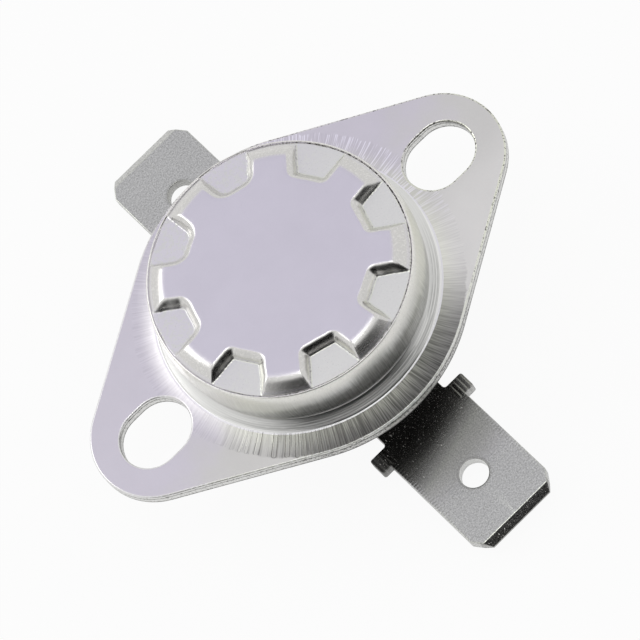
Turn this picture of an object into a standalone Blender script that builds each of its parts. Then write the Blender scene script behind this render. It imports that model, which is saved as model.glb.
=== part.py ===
"""Snap-disc bimetal thermostat with a one-piece flanged cap and two flat terminals.

The part lies on its back: +Z points out of the sensing face, +X runs along the
two fixing slots, +Y along the terminals, and Z = 0 is the back of the base.
Everything is in metres.
"""

from math import acos, asin, cos, degrees, hypot, pi, radians, sin, sqrt

import bmesh
import bpy
from mathutils import Matrix, Vector

# Inside the chamber, from the pin outwards
PIN_RADIUS = 0.0009
PIN_TO_CONTACT = 0.00025
CONTACT_RADIUS = 0.0008
CONTACT_TO_LEDGE = 0.00025
LEDGE_NOSE = 0.0015
RIVET_HEAD_RADIUS = 0.00135
WASHER_MARGIN = 0.0002
HEEL_MARGIN = 0.00005
HEEL_CLEARANCE = 0.0002
BODY_WALL = 0.0007
PLUG_WALL = 0.00125

# Drawn cup
CAP_HEIGHT = 0.0047
CAP_WALL = 0.0006
FACE_THICKNESS = 0.0007
CUP_CORNER_RADIUS = 0.0003
PLATEAU_SETBACK = 0.0012
PLATEAU_EDGE_RADIUS = 0.00075
PLATEAU_SLOPE = radians(40)

# Rim around the sensing face, upset outwards by the press that makes the pockets
RIM_RISE = 0.00006
RIM_ROLL = 0.0001
RIM_BULGE = 0.00015
RIM_TAPER_RUN = 0.0002
RIM_TAPER_HEIGHT = 0.00065
RIM_RELIEF = 0.0013

# Neck rolled into the cup just above the flange, and the crest it leaves
NECK_HEIGHT = 0.00075
NECK_ROLL = 0.00032
NECK_DEPTH = 0.00025
NECK_LIP_RADIUS = 0.00015
NECK_THINNING = 0.9
CREST_WIDTH = 0.00072
CREST_HEIGHT = 0.00016
CREST_ROLL = 0.00015
DRAW_RING_WIDTH = 0.00133

# Flange of the cap
WAIST_MARGIN = 0.00017
SLOT_LAND = 0.00058
SLOT_WIDTH = 0.00384
SLOT_LENGTH = 0.0047
SLOT_SIDE_LAND = 0.00233
SLOT_TO_END = 0.0041
FLANGE_THICKNESS = 0.0008

# Pockets pressed into the sensing face, which carry the disc inside
POCKET_COUNT = 8
POCKET_FIRST_ANGLE = radians(28.8)
POCKET_DEPTH = 0.0006
POCKET_LENGTH = 0.00225
POCKET_INNER_HALF_WIDTH = 0.00085
POCKET_SIDE_ANGLE = radians(22.5)
POCKET_WALL_RUN = 0.00015
POCKET_EDGE_RADIUS = 0.0003
POCKET_CORNER_RADIUS = 0.00012
LEDGE_THICKNESS = 0.0006
LEDGE_MARGIN = 0.00045

# Bimetal disc and the ends of the pin it pushes
DISC_CLEARANCE = 0.00035
DISC_THICKNESS = 0.0002
DISC_CROWN = 0.00025
PIN_FREE_GAP = 0.00015
PIN_NOSE_RADIUS = 0.0016

# Guide plate between the disc and the contact chamber
GUIDE_CUP_CLEARANCE = 0.0002
GUIDE_RIM_HEIGHT = 0.00095
GUIDE_RIM_WIDTH = 0.0008
GUIDE_DISH_DEPTH = 0.00055
GUIDE_SPIGOT_DEPTH = 0.00105
GUIDE_SPIGOT_WALL = 0.0007
GUIDE_BOSS_WALL = 0.00092
GUIDE_BOSS_DEPTH = 0.0010
GUIDE_BOSS_DRAFT = 0.0001

# Moulded base
COLLAR_TOP = 0.00735
COLLAR_OVERHANG = 0.00035
COLLAR_THICKNESS = 0.00105
COLLAR_FILLET = 0.0002
PLUG_CHAMFER = 0.0002
PLUG_FOOT_HEIGHT = 0.00025
BASE_DRAFT = 0.0001
BASE_EDGE = 0.00015
FLOOR_THICKNESS = 0.00195
ARM_PAD_HEIGHT = 0.00215
BACK_RIB_HEIGHT = 0.0012
BACK_RIB_SETBACK = 0.0014
BACK_STEP = 0.0002

# Terminals
TERMINAL_THICKNESS = 0.0008
NECK_HALF_WIDTH = 0.00248
NECK_REACH = 0.0014
NECK_FILLET = 0.0002
NECK_TAIL = 0.0024
NECK_TAIL_CHAMFER = 0.0003
WING_HALF_WIDTH = 0.00385
WING_LENGTH = 0.0012
WING_CORNER_RADIUS = 0.00015
WING_DRAFT = 0.00003
TAB_LENGTH = 0.0083
TAB_HALF_WIDTH = 0.00315
TAB_TIP_HALF_WIDTH = 0.00235
TAB_CHAMFER_LENGTH = 0.00115
TAB_BEVEL_LENGTH = 0.00045
TAB_BEVEL_DEPTH = 0.00025
TAB_HOLE_RADIUS = 0.000916
TAB_HOLE_FROM_TIP = 0.00416

# Rivets and washer
RIVET_SHANK_RADIUS = 0.00093
RIVET_BACK_HEAD_RADIUS = 0.0016
RIVET_BACK_HEAD_HEIGHT = 0.00072
RIVET_HEAD_HEIGHT = 0.0005
RIVET_HEAD_CHAMFER = 0.0002
RIVET_BORE_RADIUS = 0.00045
RIVET_BORE_DEPTH = 0.0009
RIVET_BORE_CHAMFER = 0.0001
WASHER_THICKNESS = 0.0003

# Contacts, spring arm and fixed contact plate
ARM_THICKNESS = 0.0002
ARM_TIP_MARGIN = 0.0001
ARM_CLAMP_MARGIN = 0.00015
PLATE_THICKNESS = 0.0004
PLATE_TIP_MARGIN = 0.00005
CONTACT_SHANK_RADIUS = 0.00048
CONTACT_TAIL_RADIUS = 0.0007
CONTACT_TAIL_HEIGHT = 0.0002
CONTACT_TAIL_CHAMFER = 0.0001
CONTACT_CROWN = 0.00004
MOVING_CONTACT_HEIGHT = 0.00037
FIXED_CONTACT_HEIGHT = 0.00033

# Clearances
SEAT_GAP = 0.00005
CONTACT_SEAT_GAP = 0.00003
CUP_CLEARANCE = 0.0001
GUIDE_CLEARANCE = 0.0001
PIN_CLEARANCE = 0.00008
RIVET_CLEARANCE = 0.00007
CHANNEL_CLEARANCE = 0.00015
TAIL_CLEARANCE = 0.0005

# Radii and places that follow, from the middle outwards
CONTACT_OFFSET = PIN_RADIUS + PIN_TO_CONTACT + CONTACT_RADIUS
PLATE_LEDGE_EDGE = CONTACT_OFFSET + CONTACT_RADIUS + CONTACT_TO_LEDGE
RIVET_OFFSET = PLATE_LEDGE_EDGE + LEDGE_NOSE
RIVET_HOLE_RADIUS = RIVET_SHANK_RADIUS + RIVET_CLEARANCE
CONTACT_HOLE_RADIUS = CONTACT_SHANK_RADIUS + RIVET_CLEARANCE
WASHER_RADIUS = RIVET_HEAD_RADIUS + WASHER_MARGIN
ARM_HEEL_RADIUS = WASHER_RADIUS + HEEL_MARGIN
ARM_TIP_RADIUS = CONTACT_RADIUS + ARM_TIP_MARGIN
PLATE_TIP_RADIUS = CONTACT_RADIUS + PLATE_TIP_MARGIN
ARM_HINGE_Y = RIVET_OFFSET - WASHER_RADIUS - ARM_CLAMP_MARGIN
BACK_BAR_HALF_WIDTH = RIVET_OFFSET - NECK_TAIL - TAIL_CLEARANCE
CHAMBER_RADIUS = RIVET_OFFSET + ARM_HEEL_RADIUS + HEEL_CLEARANCE
BODY_RADIUS = CHAMBER_RADIUS + BODY_WALL
BACK_RIB_HALF_LENGTH = BODY_RADIUS - BACK_RIB_SETBACK
PLUG_RADIUS = CHAMBER_RADIUS + PLUG_WALL
CUP_BORE_RADIUS = PLUG_RADIUS + CUP_CLEARANCE
CAP_WALL_RADIUS = CUP_BORE_RADIUS + CAP_WALL
DISC_RADIUS = CUP_BORE_RADIUS - DISC_CLEARANCE
GUIDE_RADIUS = CUP_BORE_RADIUS - GUIDE_CUP_CLEARANCE
GUIDE_BOSS_RADIUS = PIN_RADIUS + PIN_CLEARANCE + GUIDE_BOSS_WALL
COLLAR_RADIUS = CAP_WALL_RADIUS + COLLAR_OVERHANG
PLATEAU_RADIUS = CAP_WALL_RADIUS - PLATEAU_SETBACK
POCKET_INNER_REACH = CAP_WALL_RADIUS - POCKET_LENGTH
LEDGE_REACH = POCKET_INNER_REACH - LEDGE_MARGIN
NECK_CENTRE_RADIUS = CAP_WALL_RADIUS - NECK_DEPTH + NECK_ROLL
NECK_INNER_ROLL = NECK_ROLL + CAP_WALL * NECK_THINNING
CREST_RADIUS = CAP_WALL_RADIUS + CREST_WIDTH
DRAW_RING_RADIUS = CREST_RADIUS + DRAW_RING_WIDTH
FLANGE_WAIST_RADIUS = DRAW_RING_RADIUS + WAIST_MARGIN
SLOT_PITCH = 2 * (CREST_RADIUS + SLOT_LAND) + SLOT_LENGTH
FLANGE_LENGTH = SLOT_PITCH + 2 * SLOT_TO_END
FLANGE_END_RADIUS = SLOT_WIDTH / 2 + SLOT_SIDE_LAND
WING_INNER_Y = BODY_RADIUS + NECK_REACH
WING_OUTER_Y = WING_INNER_Y + WING_LENGTH
TAB_TIP_Y = WING_OUTER_Y + TAB_LENGTH
TAB_HOLE_Y = TAB_TIP_Y - TAB_HOLE_FROM_TIP

# Heights that follow, from the back upwards
TERMINAL_BOTTOM = BACK_RIB_HEIGHT
TERMINAL_TOP = TERMINAL_BOTTOM + TERMINAL_THICKNESS
CHANNEL_ROOF = TERMINAL_TOP + SEAT_GAP
CHAMBER_FLOOR = CHANNEL_ROOF + FLOOR_THICKNESS
ARM_PAD_TOP = CHAMBER_FLOOR + ARM_PAD_HEIGHT
ARM_BOTTOM = ARM_PAD_TOP + SEAT_GAP
ARM_TOP = ARM_BOTTOM + ARM_THICKNESS
MOVING_CONTACT_BOTTOM = ARM_TOP + CONTACT_SEAT_GAP
MOVING_CONTACT_TOP = MOVING_CONTACT_BOTTOM + MOVING_CONTACT_HEIGHT
FIXED_CONTACT_BOTTOM = MOVING_CONTACT_TOP + CONTACT_SEAT_GAP
FIXED_CONTACT_TOP = FIXED_CONTACT_BOTTOM + FIXED_CONTACT_HEIGHT
PLATE_BOTTOM = FIXED_CONTACT_TOP + CONTACT_SEAT_GAP
PLATE_TOP = PLATE_BOTTOM + PLATE_THICKNESS
PLATE_LEDGE_TOP = PLATE_BOTTOM - SEAT_GAP
FLANGE_BOTTOM = COLLAR_TOP + SEAT_GAP
FLANGE_TOP = FLANGE_BOTTOM + FLANGE_THICKNESS
NECK_CENTRE_Z = FLANGE_TOP + NECK_HEIGHT
CAP_TOP = FLANGE_TOP + CAP_HEIGHT
POCKET_FLOOR = CAP_TOP - POCKET_DEPTH
RIM_TOP = POCKET_FLOOR + RIM_RISE
LEDGE_BOTTOM = POCKET_FLOOR - LEDGE_THICKNESS
DISC_RISE_AT_LEDGE = DISC_CROWN * (1 - (LEDGE_REACH / DISC_RADIUS) ** 2)
DISC_RIM_TOP = LEDGE_BOTTOM - SEAT_GAP - DISC_RISE_AT_LEDGE
DISC_RIM_BOTTOM = DISC_RIM_TOP - DISC_THICKNESS
GUIDE_TOP = DISC_RIM_BOTTOM - SEAT_GAP
GUIDE_SEAT = GUIDE_TOP - GUIDE_RIM_HEIGHT
BASE_TOP = GUIDE_SEAT - SEAT_GAP
PIN_TOP = DISC_RIM_BOTTOM + DISC_CROWN - PIN_FREE_GAP
PIN_BOTTOM = ARM_TOP + SEAT_GAP

# How far a cutter goes past what it cuts, the welding distance and the facets of a turn
OVERRUN = 0.001
MERGE = 1e-6
ROUND_STEPS = 64
BASE_STEPS = 48
SMALL_STEPS = 24


def clear_scene():
    for item in list(bpy.data.objects):
        bpy.data.objects.remove(item, do_unlink=True)


def new_collection(name):
    group = bpy.data.collections.new(name)
    bpy.context.scene.collection.children.link(group)
    return group


def principled(name, colour, roughness, metallic):
    finish = bpy.data.materials.new(name)
    finish.use_nodes = True
    shader = finish.node_tree.nodes["Principled BSDF"]
    shader.inputs["Base Color"].default_value = (*colour, 1.0)
    shader.inputs["Roughness"].default_value = roughness
    shader.inputs["Metallic"].default_value = metallic
    finish.diffuse_color = (*colour, 1.0)
    return finish


def arc(centre, radius, start, end, steps):
    """Points on a circle from the start to the end angle, both in degrees."""
    points = []
    for index in range(steps + 1):
        angle = radians(start + (end - start) * index / steps)
        points.append((centre[0] + radius * cos(angle), centre[1] + radius * sin(angle)))
    return points


def circle(centre, radius, steps=SMALL_STEPS):
    return arc(centre, radius, 0, 360, steps)[:-1]


def mirrored_y(points):
    return [(x, -y) for x, y in reversed(points)]


def new_object(name, data, group):
    item = bpy.data.objects.new(name, data)
    group.objects.link(item)
    return item


def turned(name, profile, group, steps=ROUND_STEPS, closed=False):
    """A Screw modifier on an (r, z) profile that runs down its outer side."""
    shape = bmesh.new()
    points = [shape.verts.new((radius, 0, height)) for radius, height in profile]
    pairs = list(zip(points, points[1:]))
    if closed:
        pairs.append((points[-1], points[0]))
    for pair in pairs:
        shape.edges.new(pair)
    mesh = bpy.data.meshes.new(name)
    shape.to_mesh(mesh)
    shape.free()
    item = new_object(name, mesh, group)
    screw = item.modifiers.new("Turn", "SCREW")
    screw.axis = "Z"
    screw.angle = 2 * pi
    screw.steps = steps
    screw.render_steps = steps
    screw.use_merge_vertices = True
    screw.merge_threshold = MERGE
    screw.use_smooth_shade = True
    return item


def flat_plate(name, outlines, bottom, thickness, group):
    """A filled 2D curve, extruded; the outlines inside the first one are holes."""
    curve = bpy.data.curves.new(name, "CURVE")
    curve.dimensions = "2D"
    curve.fill_mode = "BOTH"
    curve.extrude = thickness / 2
    for points in outlines:
        spline = curve.splines.new("POLY")
        spline.points.add(len(points) - 1)
        for target, (x, y) in zip(spline.points, points):
            target.co = (x, y, 0, 1)
        spline.use_cyclic_u = True
    source = new_object(name + "_outline", curve, group)
    source.location.z = bottom + thickness / 2
    item = as_mesh(source, name, group)
    return item


def as_mesh(source, name, group):
    """A curve's evaluated shape as a welded mesh object, and the curve removed."""
    bpy.context.view_layer.update()
    evaluated = source.evaluated_get(bpy.context.evaluated_depsgraph_get())
    mesh = bpy.data.meshes.new_from_object(evaluated)
    mesh.name = name
    shape = bmesh.new()
    shape.from_mesh(mesh)
    bmesh.ops.remove_doubles(shape, verts=shape.verts, dist=MERGE)
    shape.to_mesh(mesh)
    shape.free()
    item = new_object(name, mesh, group)
    item.matrix_world = source.matrix_world
    bpy.data.objects.remove(source, do_unlink=True)
    return item


def add_tapered_block(shape, levels):
    """Stacks a block's sections, each (height, points), into the given bmesh."""
    height, below = levels[0]
    foot = shape.faces.new([shape.verts.new((x, y, height)) for x, y in below])
    face = foot
    for height, outline in levels[1:]:
        grown = bmesh.ops.extrude_face_region(shape, geom=[face])["geom"]
        if face != foot:
            bmesh.ops.delete(shape, geom=[face], context="FACES_ONLY")
        face = next(item for item in grown if isinstance(item, bmesh.types.BMFace))
        for corner in face.verts:
            gaps = [hypot(corner.co.x - x, corner.co.y - y) for x, y in below]
            x, y = outline[gaps.index(min(gaps))]
            corner.co = (x, y, height)
        below = outline


def mesh_object(name, shape, group):
    bmesh.ops.recalc_face_normals(shape, faces=shape.faces)
    mesh = bpy.data.meshes.new(name)
    shape.to_mesh(mesh)
    shape.free()
    return new_object(name, mesh, group)


def box(name, low, high, group):
    shape = bmesh.new()
    size = Vector(high) - Vector(low)
    middle = (Vector(high) + Vector(low)) / 2
    place = Matrix.Translation(middle) @ Matrix.Diagonal((*size, 1))
    bmesh.ops.create_cube(shape, size=1, matrix=place)
    return mesh_object(name, shape, group)


def boolean(target, tool, operation):
    step = target.modifiers.new(operation.title(), "BOOLEAN")
    step.operation = operation
    step.solver = "EXACT"
    step.object = tool
    tool.hide_render = True
    tool.display_type = "WIRE"


def bake(item, finish, sharp=radians(32)):
    """Applies an object's modifiers, shades it smooth with sharp edges and paints it."""
    bpy.context.view_layer.update()
    evaluated = item.evaluated_get(bpy.context.evaluated_depsgraph_get())
    mesh = bpy.data.meshes.new_from_object(evaluated)
    mesh.name = item.name
    item.modifiers.clear()
    item.data = mesh
    mesh.shade_smooth()
    mesh.set_sharp_from_angle(angle=sharp)
    mesh.materials.clear()
    mesh.materials.append(finish)
    return item


def hang_on(item, holder):
    """Parents an object to an empty without moving its shape."""
    item.parent = holder
    item.location = Vector(item.location) - Vector(holder.location)
    return item


def flange_outline():
    """Two round ends joined to the waist circle by lines that touch both."""
    end_centre = FLANGE_LENGTH / 2 - FLANGE_END_RADIUS
    lean = asin((FLANGE_WAIST_RADIUS - FLANGE_END_RADIUS) / end_centre)
    touch = 90 - degrees(lean)
    right = arc((end_centre, 0), FLANGE_END_RADIUS, -touch, touch, 16)
    top = arc((0, 0), FLANGE_WAIST_RADIUS, touch, 180 - touch, 14)
    left = arc((-end_centre, 0), FLANGE_END_RADIUS, 180 - touch, 180 + touch, 16)
    bottom = arc((0, 0), FLANGE_WAIST_RADIUS, 180 + touch, 360 - touch, 14)
    return right + top + left + bottom


def slot_outline(side):
    """An obround hole whose long axis lies along X."""
    radius = SLOT_WIDTH / 2
    reach = (SLOT_LENGTH - SLOT_WIDTH) / 2
    centre = side * SLOT_PITCH / 2
    right = arc((centre + reach, 0), radius, -90, 90, 12)
    left = arc((centre - reach, 0), radius, 90, 270, 12)
    return right + left


def rim_profile():
    """The rim's flat top, its tapered shoulder and the step back to the wall."""
    widest = CAP_WALL_RADIUS + RIM_BULGE
    edge = widest - RIM_TAPER_RUN
    points = arc((edge - RIM_ROLL, RIM_TOP - RIM_ROLL), RIM_ROLL, 90, 30, 2)
    points.append((edge + RIM_TAPER_RUN * 0.7, RIM_TOP - RIM_TAPER_HEIGHT * 0.5))
    points.append((widest, RIM_TOP - RIM_TAPER_HEIGHT))
    points.append((CAP_WALL_RADIUS, RIM_TOP - RIM_RELIEF))
    return points


def cap_profile():
    """Section of the drawn cup and flange, (r, z), down the outside and up the inside."""
    crown_centre = (PLATEAU_RADIUS, CAP_TOP - PLATEAU_EDGE_RADIUS)
    crown = arc(crown_centre, PLATEAU_EDGE_RADIUS, 90, 90 - degrees(PLATEAU_SLOPE), 4)
    neck_centre = (NECK_CENTRE_RADIUS, NECK_CENTRE_Z)
    lip_height = NECK_CENTRE_Z + NECK_ROLL + NECK_LIP_RADIUS
    lip = arc((CAP_WALL_RADIUS - NECK_LIP_RADIUS, lip_height), NECK_LIP_RADIUS, 0, -60, 2)
    neck = arc(neck_centre, NECK_ROLL, 140, 255, 6)
    far = FLANGE_LENGTH / 2 + OVERRUN
    outer = [(0, CAP_TOP)] + crown + rim_profile() + lip + neck
    outer += [
        (CREST_RADIUS, FLANGE_TOP + CREST_HEIGHT),
        (CREST_RADIUS + CREST_ROLL, FLANGE_TOP + CREST_HEIGHT * 0.6),
        (DRAW_RING_RADIUS, FLANGE_TOP),
        (far, FLANGE_TOP),
        (far, FLANGE_BOTTOM),
    ]
    reach = min(1, (NECK_CENTRE_RADIUS - CUP_BORE_RADIUS) / NECK_INNER_ROLL)
    meets_bore = 180 - degrees(acos(reach))
    inner = [(CREST_RADIUS - CAP_WALL, FLANGE_BOTTOM)]
    inner += arc(neck_centre, NECK_INNER_ROLL, 235, meets_bore, 6)
    ceiling = CAP_TOP - FACE_THICKNESS
    corner_centre = (CUP_BORE_RADIUS - CUP_CORNER_RADIUS, ceiling - CUP_CORNER_RADIUS)
    inner += arc(corner_centre, CUP_CORNER_RADIUS, 0, 90, 3)
    inner.append((0, ceiling))
    return outer + inner


def pocket_outline(grow, outer_reach, corner_radius):
    """A pocket's section about +X, moved outwards by grow: its outer side lies past the rim."""
    side = POCKET_SIDE_ANGLE
    inner_x = POCKET_INNER_REACH - grow
    inner_y = POCKET_INNER_HALF_WIDTH + grow * (1 - sin(side)) / cos(side)
    outer_y = inner_y + (outer_reach - inner_x) * sin(side) / cos(side)
    turn = 90 - degrees(side)
    setback = corner_radius * (1 - sin(side)) / cos(side)
    centre = (inner_x + corner_radius, inner_y - setback)
    upper = arc(centre, corner_radius, 180, 180 - turn, 3)
    points = [(outer_reach, -outer_y), (outer_reach, outer_y)]
    points += list(reversed(upper)) + mirrored_y(list(reversed(upper)))
    return points


def turned_outline(points, angle):
    return [(x * cos(angle) - y * sin(angle), x * sin(angle) + y * cos(angle)) for x, y in points]


def pocket_angles():
    return [POCKET_FIRST_ANGLE + 2 * pi * index / POCKET_COUNT for index in range(POCKET_COUNT)]


def pocket_levels(angle):
    """Floor, straight wall and rounded upper edge of one cutter, which ends above the face."""
    reach = CAP_WALL_RADIUS + OVERRUN
    straight = POCKET_DEPTH - POCKET_EDGE_RADIUS
    steps = [(0, 0), (straight, POCKET_WALL_RUN)]
    for turn in (radians(30), radians(60)):
        run = POCKET_WALL_RUN + POCKET_EDGE_RADIUS * (1 - cos(turn))
        steps.append((straight + POCKET_EDGE_RADIUS * sin(turn), run))
    top_run = POCKET_WALL_RUN + POCKET_EDGE_RADIUS
    steps.append((POCKET_DEPTH + POCKET_EDGE_RADIUS / 5, top_run + POCKET_EDGE_RADIUS / 4))
    levels = []
    for rise, grow in steps:
        outline = pocket_outline(grow, reach, POCKET_CORNER_RADIUS + grow)
        levels.append((POCKET_FLOOR + rise, turned_outline(outline, angle)))
    return levels


def ledge_levels(angle):
    """The inside of one pocket, a boss that joins the cup's face and wall."""
    reach = CUP_BORE_RADIUS + CAP_WALL / 2
    corner = POCKET_CORNER_RADIUS + LEDGE_MARGIN
    foot = pocket_outline(LEDGE_MARGIN, reach, corner)
    root = pocket_outline(LEDGE_MARGIN + POCKET_WALL_RUN, reach, corner)
    return [
        (LEDGE_BOTTOM, turned_outline(foot, angle)),
        (CAP_TOP - FACE_THICKNESS / 2, turned_outline(root, angle)),
    ]


def make_cap(parts, cutters, finish):
    cap = turned("cap", cap_profile(), parts)
    blank = flat_plate(
        "flange_blank",
        [flange_outline(), slot_outline(1), slot_outline(-1)],
        FLANGE_BOTTOM - OVERRUN,
        CAP_TOP - FLANGE_BOTTOM + 2 * OVERRUN,
        cutters,
    )
    boolean(cap, blank, "INTERSECT")
    ledges = bmesh.new()
    pockets = bmesh.new()
    for angle in pocket_angles():
        add_tapered_block(ledges, ledge_levels(angle))
        add_tapered_block(pockets, pocket_levels(angle))
    boolean(cap, mesh_object("disc_ledges", ledges, cutters), "UNION")
    boolean(cap, mesh_object("pocket_cutter", pockets, cutters), "DIFFERENCE")
    return bake(cap, finish)


def dome(radius, rim_height, crown, steps):
    """Points of a shallow dome from its crown to its rim."""
    points = []
    for index in range(steps + 1):
        share = index / steps
        points.append((radius * share, rim_height + crown * (1 - share**2)))
    return points


def make_disc(parts, finish):
    top = dome(DISC_RADIUS, DISC_RIM_TOP, DISC_CROWN, 5)
    bottom = list(reversed(dome(DISC_RADIUS, DISC_RIM_BOTTOM, DISC_CROWN, 5)))
    disc = turned("bimetal_disc", top + bottom, parts, 48)
    return bake(disc, finish)


def make_guide_plate(parts, finish):
    """Disc seat, dish, spigot and the boss that guides the pin."""
    rim_inner = GUIDE_RADIUS - GUIDE_RIM_WIDTH
    dish_floor = GUIDE_TOP - GUIDE_DISH_DEPTH
    dish_radius = rim_inner - GUIDE_DISH_DEPTH * 2
    hole = PIN_RADIUS + PIN_CLEARANCE
    spigot = CHAMBER_RADIUS - GUIDE_CLEARANCE
    spigot_bottom = GUIDE_SEAT - GUIDE_SPIGOT_DEPTH
    web_bottom = dish_floor - GUIDE_RIM_HEIGHT
    boss_bottom = web_bottom - GUIDE_BOSS_DEPTH
    spigot_inner = spigot - GUIDE_SPIGOT_WALL
    profile = [
        (rim_inner, GUIDE_TOP),
        (GUIDE_RADIUS, GUIDE_TOP),
        (GUIDE_RADIUS, GUIDE_SEAT),
        (spigot, GUIDE_SEAT),
        (spigot, spigot_bottom),
        (spigot_inner, spigot_bottom),
        (spigot_inner, web_bottom),
        (GUIDE_BOSS_RADIUS, web_bottom),
        (GUIDE_BOSS_RADIUS - GUIDE_BOSS_DRAFT, boss_bottom),
        (hole, boss_bottom),
        (hole, dish_floor),
        (dish_radius, dish_floor),
    ]
    guide = turned("guide_plate", profile, parts, 48, closed=True)
    return bake(guide, finish)


def nose(height, radius, nose_radius, direction, steps=4):
    """A shallow spherical end from its edge to its tip, on the given side."""
    sink = nose_radius - sqrt(nose_radius**2 - radius**2)
    points = []
    for index in range(steps + 1):
        r = radius * (1 - index / steps)
        rise = sqrt(nose_radius**2 - r**2) - (nose_radius - sink)
        points.append((r, height + direction * (rise - sink)))
    return points


def make_pin(parts, finish):
    """Ceramic pin with rounded ends, whose tips are at PIN_TOP and PIN_BOTTOM."""
    top = list(reversed(nose(PIN_TOP, PIN_RADIUS, PIN_NOSE_RADIUS, 1)))
    bottom = nose(PIN_BOTTOM, PIN_RADIUS, PIN_NOSE_RADIUS, -1)
    pin = turned("transfer_pin", top + bottom, parts, SMALL_STEPS)
    return bake(pin, finish)


def base_profile():
    """Outside of the moulded base: plug, neck groove, collar and body."""
    groove = NECK_CENTRE_RADIUS - NECK_INNER_ROLL - CUP_CLEARANCE
    groove_top = NECK_CENTRE_Z + NECK_INNER_ROLL + SEAT_GAP
    groove_bottom = NECK_CENTRE_Z - NECK_INNER_ROLL
    collar_bottom = COLLAR_TOP - COLLAR_THICKNESS
    return [
        (0, BASE_TOP),
        (PLUG_RADIUS - PLUG_CHAMFER, BASE_TOP),
        (PLUG_RADIUS, BASE_TOP - PLUG_CHAMFER),
        (PLUG_RADIUS, groove_top + BASE_DRAFT),
        (groove, groove_top - BASE_DRAFT),
        (groove, groove_bottom),
        (PLUG_RADIUS, COLLAR_TOP + PLUG_FOOT_HEIGHT),
        (PLUG_RADIUS + BASE_DRAFT, COLLAR_TOP),
        (COLLAR_RADIUS, COLLAR_TOP),
        (COLLAR_RADIUS, collar_bottom),
        (BODY_RADIUS + BASE_DRAFT, collar_bottom - COLLAR_FILLET),
        (BODY_RADIUS, CHANNEL_ROOF),
        (BODY_RADIUS - BASE_DRAFT, BASE_EDGE),
        (BODY_RADIUS - BASE_DRAFT - BASE_EDGE, 0),
        (0, 0),
    ]


def chamber_section(low_y, high_y):
    """The part of the chamber's round bore between two chords across Y."""
    points = []
    lower = degrees(asin(low_y / CHAMBER_RADIUS))
    upper = degrees(asin(high_y / CHAMBER_RADIUS))
    right = arc((0, 0), CHAMBER_RADIUS, lower, upper, 16)
    left = arc((0, 0), CHAMBER_RADIUS, 180 - upper, 180 - lower, 16)
    for x, y in right + left:
        if not points or hypot(x - points[-1][0], y - points[-1][1]) > MERGE:
            points.append((x, y))
    if hypot(points[0][0] - points[-1][0], points[0][1] - points[-1][1]) < MERGE:
        points.pop()
    return points


def make_base(parts, cutters, finish):
    base = turned("base", base_profile(), parts, BASE_STEPS)
    above = BASE_TOP + OVERRUN
    whole = chamber_section(-CHAMBER_RADIUS, CHAMBER_RADIUS)
    over_pad = chamber_section(-PLATE_LEDGE_EDGE, CHAMBER_RADIUS)
    middle = chamber_section(-PLATE_LEDGE_EDGE, ARM_HINGE_Y)
    steps = [
        ("chamber_bore", whole, PLATE_LEDGE_TOP),
        ("chamber_over_arm_pad", over_pad, ARM_PAD_TOP),
        ("chamber_middle", middle, CHAMBER_FLOOR),
    ]
    for name, outline, bottom in steps:
        cutter = flat_plate(name, [outline], bottom, above - bottom, cutters)
        boolean(base, cutter, "DIFFERENCE")
    channel_half = NECK_HALF_WIDTH + CHANNEL_CLEARANCE
    outside = BODY_RADIUS + OVERRUN
    for side in (-1, 1):
        outline = circle((0, side * RIVET_OFFSET), RIVET_HOLE_RADIUS)
        hole = flat_plate("rivet_hole", [outline], -OVERRUN, above, cutters)
        boolean(base, hole, "DIFFERENCE")
        low_y, high_y = sorted((side * BACK_BAR_HALF_WIDTH, side * outside))
        low = (-channel_half, low_y, -OVERRUN)
        high = (channel_half, high_y, CHANNEL_ROOF)
        boolean(base, box("terminal_channel", low, high, cutters), "DIFFERENCE")
        low_y, high_y = sorted((side * BACK_RIB_HALF_LENGTH, side * outside))
        low = (-outside, low_y, -2 * OVERRUN)
        high = (outside, high_y, CHANNEL_ROOF - BACK_STEP)
        boolean(base, box("back_trim", low, high, cutters), "DIFFERENCE")
    return bake(base, finish)


def terminal_half_outline():
    """Right half of a terminal that points along +Y, from its tail to its tip."""
    tail = RIVET_OFFSET - NECK_TAIL
    fillet_centre = (NECK_HALF_WIDTH + NECK_FILLET, WING_INNER_Y - NECK_FILLET)
    corner_x = WING_HALF_WIDTH - WING_CORNER_RADIUS
    inner_corner = (corner_x, WING_INNER_Y + WING_DRAFT + WING_CORNER_RADIUS)
    outer_corner = (corner_x, WING_OUTER_Y - WING_DRAFT - WING_CORNER_RADIUS)
    points = [
        (NECK_HALF_WIDTH - NECK_TAIL_CHAMFER, tail),
        (NECK_HALF_WIDTH, tail + NECK_TAIL_CHAMFER),
    ]
    points += arc(fillet_centre, NECK_FILLET, 180, 90, 3)
    points += arc(inner_corner, WING_CORNER_RADIUS, -90, 0, 3)
    points += arc(outer_corner, WING_CORNER_RADIUS, 0, 90, 3)
    points += [
        (TAB_HALF_WIDTH, WING_OUTER_Y),
        (TAB_HALF_WIDTH, TAB_TIP_Y - TAB_CHAMFER_LENGTH),
        (TAB_TIP_HALF_WIDTH, TAB_TIP_Y),
    ]
    return points


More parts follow.
